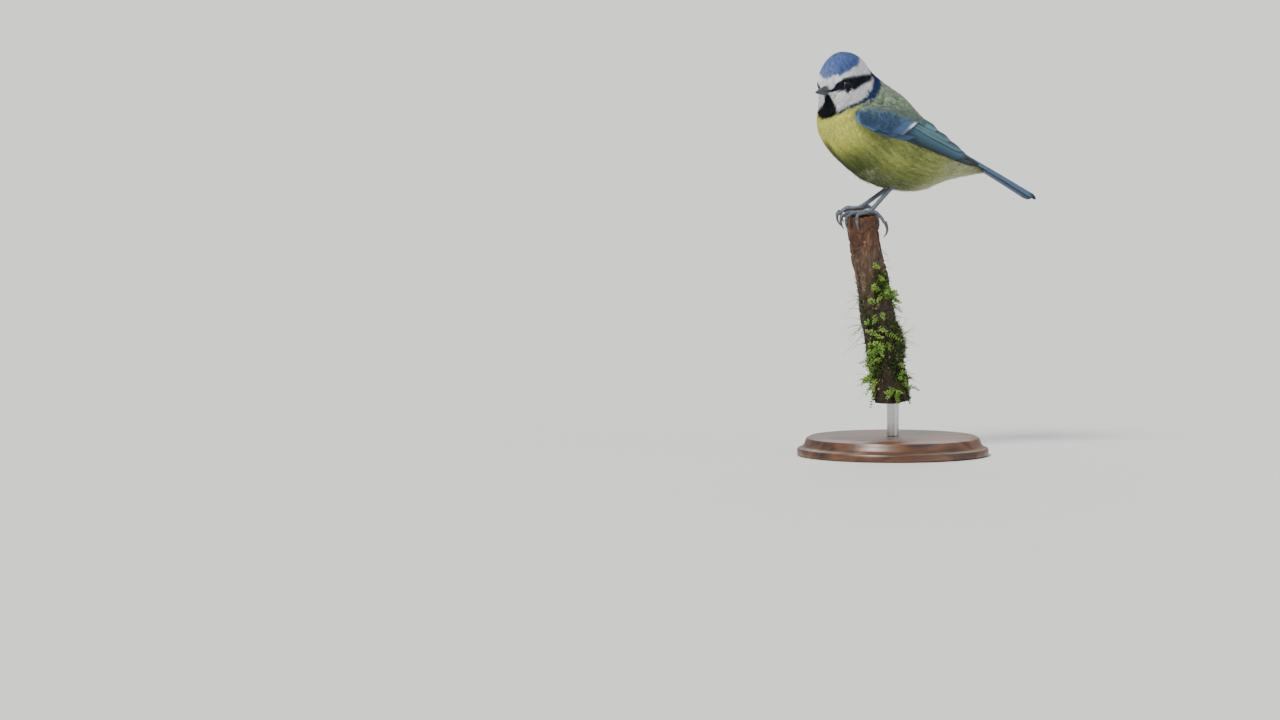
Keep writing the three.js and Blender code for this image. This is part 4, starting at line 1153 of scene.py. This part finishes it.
# Twig: bark with long ridges and pits, and a torn, paler end
def barkMaterial():
    material, tree, shader = newMaterial("bark", Roughness=0.9)
    place, noise = stretchedNoise(tree, (1, 1, 0.35), Scale=620, Detail=10, Roughness=0.74)
    ramp = rampNode(tree, (0.32, paint(34, 26, 20)), (0.52, paint(74, 55, 43)), (0.72, paint(124, 102, 82)))
    paintNode = addNode(tree, "ShaderNodeAttribute", attribute_name="plumage")
    torn = addNode(tree, "ShaderNodeMix", data_type="RGBA", blend_type="MULTIPLY")
    torn.inputs["Factor"].default_value = 1.0
    lichen = addNode(tree, "ShaderNodeTexVoronoi", Scale=420, feature="F1")
    spots = rampNode(tree, (0.16, (1, 1, 1)), (0.26, (0, 0, 0)))
    patches = addNode(tree, "ShaderNodeTexNoise", Scale=120, Detail=2)
    patchRamp = rampNode(tree, (0.5, (0, 0, 0)), (0.6, (1, 1, 1)))
    where = addNode(tree, "ShaderNodeMath", operation="MULTIPLY")
    lichened = addNode(tree, "ShaderNodeMix", data_type="RGBA")
    lichened.inputs["B"].default_value = (*paint(138, 142, 96), 1)
    bump = addNode(tree, "ShaderNodeBump", Strength=1.0, Distance=0.0011)
    wire(
        tree,
        (noise, "Fac", ramp, "Fac"), (ramp, "Color", torn, "A"), (paintNode, "Color", torn, "B"),
        (place, "Object", lichen, "Vector"), (place, "Object", patches, "Vector"),
        (lichen, "Distance", spots, "Fac"), (patches, "Fac", patchRamp, "Fac"), (spots, "Color", where, 0),
        (patchRamp, "Color", where, 1), (where, 0, lichened, "Factor"), (torn, "Result", lichened, "A"),
        (lichened, "Result", shader, "Base Color"), (noise, "Fac", bump, "Height"),
        (bump, "Normal", shader, "Normal"),
    )
    return material


def roughness(place, scale, seed):
    # smooth, repeatable unevenness made of a few waves
    waves = np.random.default_rng(seed)
    total = np.zeros(place.shape[:-1])
    for octave in range(4):
        for _ in range(5):
            way = waves.normal(0, 1, 3)
            total += np.sin(place @ way * 2**octave / scale + waves.uniform(0, tau)) / 2**octave
    return total / 4


def perchMesh():
    rows, columns = perch["rings"]
    down = np.linspace(0, 1, rows)[:, None] * perch["length"]
    angle = np.arange(columns) / columns * tau
    wave = np.sin(3 * angle + 0.16 * down + 1) + np.sin(5 * angle - 0.29 * down + 2)
    fade = smoothstep(4, 24, down)
    radius = perch["radius"] + perch["widens"] * down + fade * (0.28 * wave - 0.1)
    ringSide = unit(np.cross(perchUp, [0, 1, 0]))
    ringTop = np.cross(perchUp, ringSide)
    ring = ringSide * np.cos(angle)[:, None] + ringTop * np.sin(angle)[:, None]
    place = -perchUp * down[..., None] + ring * radius[..., None]
    plates = roughness(place * [1.6, 1.6, 0.5], 1.6, 5) + 0.6 * roughness(place * [2, 2, 0.8], 0.7, 9)
    radius = radius + np.clip(plates, -1.2, 0.5) * 0.42 * (0.3 + 0.7 * fade) - 0.12
    for crack in perch["cracks"]:
        wander = crack + 1.1 * np.sin(2 * angle + crack) + 0.6 * np.sin(5 * angle + 2 * crack)
        gaping = smoothstep(-0.2, 0.7, np.sin(angle + 1.7 * crack))
        radius = radius - 0.55 * gaping * np.exp(-(((down - wander) / 0.5) ** 2))
    place = -perchUp * down[..., None] + ring * radius[..., None]

    # the first rows follow the slant of the broken end, which splinters roughen
    endNormal = unit(np.array(perch["endNormal"]))
    endPoint = np.array([0, 0, perch["endPoint"]])
    lift = ((endPoint - place[0]) @ endNormal) / (perchUp @ endNormal)
    torn = 0.35 * roughness(place[0] * 1.5, 1.0, 3)
    near = (1 - down / 12).clip(0, 1)
    place = place + perchUp * ((lift - 0.25 + 0.35 * torn)[None, :] * near)[..., None]
    share = np.linspace(1, 0, perch["endRings"])[1:, None]
    top = endPoint + (place[0] - endPoint) * share[..., None]
    splinters = 0.5 * roughness(top * [1.2, 2.4, 1], 0.5, 21) + 0.35 * roughness(top * [3, 3, 1], 0.5, 22)
    sunk = 0.35 + 0.5 * (1 - share) * 0.4 - np.clip(splinters, -0.8, 0.5) * 0.5
    top = top - endNormal * sunk[..., None]

    # the foot is cut level
    footLevel = -perch["length"] * perchUp[2]
    place[..., 2] = np.maximum(place[..., 2], footLevel)
    foot = [-perchUp[0] * perch["length"], -perchUp[1] * perch["length"], footLevel]
    points = np.vstack([place.reshape(-1, 3), top.reshape(-1, 3), foot])
    count, first = rows * columns, np.arange(columns)
    after = np.roll(first, -1)
    side = gridFaces(rows, columns, True)
    crown = gridFaces(perch["endRings"] - 1, columns, True)[:, ::-1] + count
    join = np.stack([first, after, after + count, first + count], -1)[:, ::-1]
    fan = np.stack([0 * first + len(points) - 1, after + count - columns, first + count - columns], -1)
    flat = np.ones(columns)
    bark = mix(np.ones((rows, columns, 3)), np.array(perch["reddish"]), (1 - smoothstep(8, 24, down)) * flat)
    greyish = band(13, 18, 30, 40, down) * (0.75 + 0.25 * np.sin(2 * angle + down))
    bark = mix(bark, np.array(perch["greyish"]), greyish)
    # the bark darker and greener towards the foot
    bark = mix(bark, np.array(perch["darkerToFoot"]), smoothstep(30, 46, down) * flat).reshape(-1, 3)
    # painted shade in the sunk pits of the torn wood and painted light on its raised splinters
    wood = np.array(perch["wood"]) * (0.8 + 0.4 * np.clip(splinters, -1, 1).reshape(-1, 1))
    colour = np.vstack([bark, wood, [[1, 1, 1]]])
    return meshOf("twig", points + perchTop, [np.vstack([side, join, crown]), fan], barkMaterial(), colour)


show(perchMesh(), "bark", "perch")
print("twig made")


# Moss: cushions of short curved strands
mossMaterial = plumageMaterial("moss", 0.9, 1200, 0.7, 0.5)
mossClumps = {
    # node: angle round the twig, distance below its end, height, width, thickness, strands
    "moss_1": (-72, 30, 7, 5, 2.4, 1100),
    "moss_2": (-25, 54, 11.5, 6.5, 3.4, 1900),
    "moss_3": (-150, 62, 9, 5, 2.6, 1300),
}
moss = {
    "dark": (34, 44, 20), "middle": (86, 106, 42), "light": (138, 158, 70),
    "frond": (104, 146, 48), "frondPale": (150, 182, 84), "strand": (176, 182, 132),
    "filmStrands": 5200, "frondSteps": 9, "leavesPerStep": 5, "strandSteps": 10,
    # angle round the twig, distance below its end, stems, reach
    "fronds": (
        (-92, 29, 5, 5), (-60, 33, 6, 6), (-25, 36, 4, 6), (-112, 46, 6, 6), (-122, 54, 9, 8),
        (-142, 61, 8, 8), (-168, 70, 8, 9), (-58, 66, 5, 6), (-98, 74, 6, 6), (60, 40, 6, 7),
        (100, 62, 7, 8), (20, 70, 6, 8),
    ),
    "strands": (
        (168, 49, 14, 11), (-18, 52, 12, 10), (-22, 17, 4, 5), (172, 36, 6, 8), (-8, 40, 8, 8),
        (90, 50, 8, 9), (-175, 72, 10, 10), (-12, 68, 8, 7),
    ),
}


def threads(lines, half):
    # three-sided tapering threads along rows of points, each closed at its root and pointed at its tip
    count, steps = half.shape
    way = unit(lines[:, 1:] - lines[:, :-1])
    side = unit(np.cross(way, [0.3, 0.2, 1]))
    front = np.cross(way, side)
    turn = np.arange(3)[:, None] * tau / 3
    ring = side[:, :, None] * np.cos(turn) + front[:, :, None] * np.sin(turn)
    body = (lines[:, :-1, None] + ring * half[:, :, None, None]).reshape(count, -1, 3)
    points = np.concatenate([body, lines[:, -1:]], axis=1)
    local = [[0, 2, 1]]
    for step in range(steps - 1):
        for k in range(3):
            here, beside = 3 * step + k, 3 * step + (k + 1) % 3
            local += [[here, beside, beside + 3], [here, beside + 3, here + 3]]
    last = 3 * (steps - 1)
    local += [[last + k, last + (k + 1) % 3, last + 3] for k in range(3)]
    faces = (np.arange(count) * (3 * steps + 1))[:, None, None] + np.array(local)
    return points, faces.reshape(-1, 3)


def onBark(angle, down, out):
    outwards = np.stack([np.cos(angle), np.sin(angle), 0 * angle], -1)
    distance = perch["radius"] + perch["widens"] * down + out
    return outwards, -perchUp * down[..., None] + outwards * distance[..., None]


def threadPaint(tones, steps):
    # darker at the root and lighter at the tip of each thread: painted shade at the root and painted light at
    # the tip
    ramp = np.append(np.repeat(np.linspace(0.4, 1.0, steps), 3), 1.2)
    return np.clip(tones[:, None] * ramp[None, :, None], 0, 1).reshape(-1, 3)


def threadsMesh(name, lines, half, tones):
    points, faces = threads(lines, half)
    return meshOf(name, points.reshape(-1, 3) + perchTop, [faces], mossMaterial,
                  threadPaint(tones, half.shape[1]))


def bentLines(root, way, bend, length, share):
    # lines that start along the way and bend more and more
    share = np.asarray(share)[None, :, None]
    return root[:, None] + (way[:, None] * share + bend[:, None] * share**2) * length[:, None, None]


def mossMesh(name, node):
    degrees, down, tall, wide, thick, strands = mossClumps[node]
    angle = np.radians(degrees)
    outwards = np.array([np.cos(angle), np.sin(angle), 0])
    aside = np.array([-np.sin(angle), np.cos(angle), 0])
    centre = -perchUp * down + outwards * (perch["radius"] - 0.6)
    u, w = chance.normal(0, 0.42, (2, strands)).clip(-1, 1)
    inside = np.sqrt(np.clip(1 - u**2 - w**2, 0.02, 1))
    root = centre + np.outer(u * tall, perchUp) + np.outer(w * wide, aside)
    root = root - np.outer(0.54 * w**2 * wide, outwards)
    way = np.outer(inside * 1.4, outwards) + np.outer(w * 1.1, aside)
    way = way + np.outer(chance.normal(-0.1, 0.7, strands), perchUp)
    way = unit(way + chance.normal(0, 0.45, (strands, 3)))
    length = (thick * 0.8 * inside + 0.8) * chance.uniform(0.5, 1.4, strands)
    bend = unit(chance.normal(0, 1, (strands, 3)) + perchUp * 0.3) * 0.3
    lines = bentLines(root, way, bend, length, [0, 0.4, 0.75, 1.0])
    half = np.array([0.14, 0.17, 0.1]) * chance.uniform(0.8, 1.3, (strands, 1))
    tone = chance.random(strands)
    colour = mix(plain(strands, moss["dark"]), paint(*moss["middle"]), tone)
    colour = mix(colour, paint(*moss["light"]), smoothstep(0.8, 1.0, tone))
    return threadsMesh(name, lines, half, colour)


def mossFilm():
    # a thin, uneven cover of moss on the lower bark
    strands = moss["filmStrands"]
    down = 24 + 55 * chance.random(strands) ** 0.7
    angle = chance.uniform(0, tau, strands)
    patch = np.sin(2 * angle + 0.21 * down) + np.sin(3 * angle - 0.13 * down + 2)
    patch = patch + 0.9 * smoothstep(30, 60, down)
    keep = patch > chance.normal(0.2, 0.4, strands)
    down, angle = down[keep], angle[keep]
    outwards, root = onBark(angle, down, -0.5 + 0 * down)
    way = unit(outwards + chance.normal(0, 0.6, root.shape))
    length = chance.uniform(0.9, 2.0, len(down))
    lines = bentLines(root, way, chance.normal(0, 0.25, root.shape), length, [0, 0.5, 1.0])
    half = np.array([0.2, 0.16]) * chance.uniform(0.7, 1.4, (len(down), 1))
    tones = mix(plain(len(down), moss["dark"]), paint(*moss["middle"]), chance.random(len(down)) ** 2)
    return threadsMesh("mossFilm", lines, half, tones)


def curvedStems(bunches, steps):
    # stems that leave the bark in bunches, as rows of points
    lines = []
    for degrees, down, count, reach in bunches:
        angle = np.radians(degrees) + chance.normal(0, 0.18, count)
        outwards, root = onBark(angle, down + chance.normal(0, 2.2, count), -0.4 + np.zeros(count))
        aside = np.stack([-outwards[:, 1], outwards[:, 0], 0 * angle], -1)
        way = outwards * 0.9 + aside * chance.normal(0, 0.7, (count, 1))
        way = unit(way + [0, 0, 1] * chance.normal(0.1, 0.6, (count, 1)))
        hook = aside * chance.normal(0, 0.8, (count, 1))
        hook = unit(hook + [0, 0, -1] * chance.uniform(0.2, 1.2, (count, 1)))
        length = reach * chance.uniform(0.6, 1.1, count)
        lines.append(bentLines(root, way, 0.45 * hook, length, np.linspace(0, 1, steps + 1)))
    return np.concatenate(lines)


def frondMesh():
    steps, leavesPerStep = moss["frondSteps"], moss["leavesPerStep"]
    stems = curvedStems(moss["fronds"], steps)
    count = len(stems)
    points, faces = threads(stems, np.linspace(0.16, 0.06, steps) + np.zeros((count, steps)))
    tones = mix(plain(count, moss["frond"]), paint(*moss["frondPale"]), chance.random(count))
    parts = [(points.reshape(-1, 3), [faces])]
    # leaves stand off every step of the stem, shorter towards its tip
    roots = stems[:, 1:-1, None] + np.zeros((1, 1, leavesPerStep, 1))
    along = unit(stems[:, 2:] - stems[:, :-2])[:, :, None]
    away = unit(np.cross(along, chance.normal(0, 1, roots.shape)))
    length = np.linspace(1.9, 0.8, steps - 1)[None, :, None, None]
    length = length * chance.uniform(0.7, 1.2, roots.shape[:3] + (1,))
    tips = roots + unit(away + 0.7 * along) * length
    middle = (roots + tips) / 2 + 0.12 * away
    leaves = np.stack([roots, middle, tips], -2).reshape(-1, 3, 3)
    points, faces = threads(leaves, np.array([0.1, 0.24]) * chance.uniform(0.7, 1.2, (len(leaves), 1)))
    parts.append((points.reshape(-1, 3), [faces]))
    leafTones = np.repeat(tones, (steps - 1) * leavesPerStep, axis=0)
    points, faces = merged(parts)
    return meshOf("mossFronds", points + perchTop, faces, mossMaterial,
                  np.vstack([threadPaint(tones * 0.8, steps), threadPaint(leafTones, 2)]))


def strandMesh():
    steps = moss["strandSteps"]
    stems = curvedStems(moss["strands"], steps)
    half = np.linspace(0.15, 0.07, steps) + np.zeros((len(stems), steps))
    return threadsMesh("paleStrands", stems, half, plain(len(stems), moss["strand"]))


for number, node in enumerate(mossClumps):
    show(mossMesh(f"mossClump{number + 1}", node), "moss", node)
for piece in (mossFilm(), frondMesh(), strandMesh()):
    show(piece, "moss")
print("moss made")


# Stand: a turned wooden base and a steel rod
def woodMaterial():
    material, tree, shader = newMaterial("turnedWood", Roughness=0.4, Coat_Weight=0.25, Coat_Roughness=0.3)
    _, rings = stretchedNoise(tree, (1, 9, 9), Scale=16, Detail=8, Distortion=0.8)
    ramp = rampNode(tree, (0.35, paint(54, 32, 20)), (0.68, paint(116, 74, 46)))
    bump = addNode(tree, "ShaderNodeBump", Strength=0.12, Distance=0.0003)
    wire(
        tree,
        (rings, "Fac", ramp, "Fac"), (ramp, "Color", shader, "Base Color"), (rings, "Fac", bump, "Height"),
        (bump, "Normal", shader, "Normal"),
    )
    return material


def baseMesh():
    r, h, around = stand["radius"], stand["thickness"], stand["around"]
    profile = np.array([(r - 0.8, 0), (r, 0.6), (r, 2.5), (r - 0.4, 3.1), (r - 2.0, 3.7), (r - 2.9, 4.6),
                        (r - 3.4, 6.2), (r - 4.0, 7.3), (r - 5.4, h), (r - 12, h), (1, h)])
    angle = np.arange(around) / around * tau
    across, up = profile[:, :1], profile[:, 1:]
    points = np.stack([across * np.cos(angle), across * np.sin(angle), up + 0 * angle], -1).reshape(-1, 3)
    points = np.vstack([points, [0, 0, 0], [0, 0, h]])
    return meshOf("turnedBase", points, closedRings(len(profile), around), woodMaterial())


def steelMaterial():
    material, tree, shader = newMaterial("satinSteel", Metallic=1.0, Roughness=0.3)
    _, lines = stretchedNoise(tree, (1, 1, 30), Scale=90, Detail=4)
    ramp = rampNode(tree, (0, (0.42, 0.42, 0.41)), (1, (0.68, 0.68, 0.66)))
    wire(tree, (lines, "Fac", ramp, "Fac"), (ramp, "Color", shader, "Base Color"))
    return material


base = baseMesh()
rodFoot = stand["thickness"] + stand["rodGap"]
rodTop = stand["thickness"] + stand["rodHeight"] - stand["rodGap"]
rodPoints, rodFaces = tube(
    np.linspace([0, 0, rodFoot], [0, 0, rodTop], 12), np.full(12, stand["rodRadius"]), 48, (1, 0, 0))
rod = meshOf("steelRod", rodPoints, rodFaces, steelMaterial())
for piece, slot, node in ((base, "base", "stand_base"), (rod, "rod", "stand_rod")):
    piece.modifiers.new("edges", "EDGE_SPLIT").split_angle = 0.6
    show(piece, slot, node)
print("stand made")


# Floor, light and camera
floorMaterial, floorTree, floorShader = newMaterial("floor", Roughness=0.7, Base_Color=(0.72, 0.72, 0.7, 1))
floorGrain = useGroup(floorTree, grain, Scale=60, Strength=0.05)
wire(floorTree, (floorGrain, "Normal", floorShader, "Normal"))
floorReach = 60000
floorCorners = np.array([(-1, -1, 0), (1, -1, 0), (1, 1, 0), (-1, 1, 0)]) * floorReach
floor = meshOf("floor", floorCorners, [np.array([[0, 1, 2, 3]])], floorMaterial, smooth=False)

lights = {
    # name: direction it comes from, strength, softness in degrees, colour
    "key": ((-620, -480, 900), 3.7, 16, (1.0, 0.98, 0.94)),
    "fill": ((600, -700, 300), 0.8, 60, (0.94, 0.97, 1.0)),
    "back": ((200, 700, 700), 1.1, 45, (1.0, 1.0, 1.0)),
}
for name, (place, power, softness, colour) in lights.items():
    lamp = bpy.data.lights.new(name, "SUN")
    lamp.energy, lamp.angle, lamp.color = power, np.radians(softness), colour
    holder = bpy.data.objects.new(name, lamp)
    holder.location = Vector(place) / 1000
    holder.rotation_euler = (-Vector(place)).to_track_quat("-Z", "Y").to_euler()
    scene.collection.objects.link(holder)
world = bpy.data.worlds.new("studio")
world.use_nodes = True
background = world.node_tree.nodes["Background"]
background.inputs["Color"].default_value = (0.82, 0.86, 0.9, 1)
background.inputs["Strength"].default_value = 0.5
scene.world = world

view = {
    "azimuth": -18, "elevation": 4, "distance": 3000, "pixelsPerMm": 2.4,
    "picture": (1280, 720), "sensor": 36,
    "perchAt": (860, 214),  # pixel of the twig's end
}
camera = bpy.data.objects.new("camera", bpy.data.cameras.new("camera"))
scene.collection.objects.link(camera)
azimuth, elevation = np.radians(view["azimuth"]), np.radians(view["elevation"])
level = np.cos(elevation)
backwards = np.array([np.sin(azimuth) * level, -np.cos(azimuth) * level, np.sin(elevation)])
rightwards = np.array([np.cos(azimuth), np.sin(azimuth), 0])
upwards = np.cross(backwards, rightwards)
offRight = (view["perchAt"][0] - view["picture"][0] / 2) / view["pixelsPerMm"]
offUp = (view["picture"][1] / 2 - view["perchAt"][1]) / view["pixelsPerMm"]
target = perchTop - rightwards * offRight - upwards * offUp
camera.location = Vector(target + backwards * view["distance"]) / 1000
camera.rotation_euler = Vector(-backwards).to_track_quat("-Z", "Y").to_euler()
camera.data.sensor_width = view["sensor"]
camera.data.lens = view["sensor"] * view["distance"] / (view["picture"][0] / view["pixelsPerMm"])
camera.data.clip_start, camera.data.clip_end = 0.1, 50
scene.camera = camera
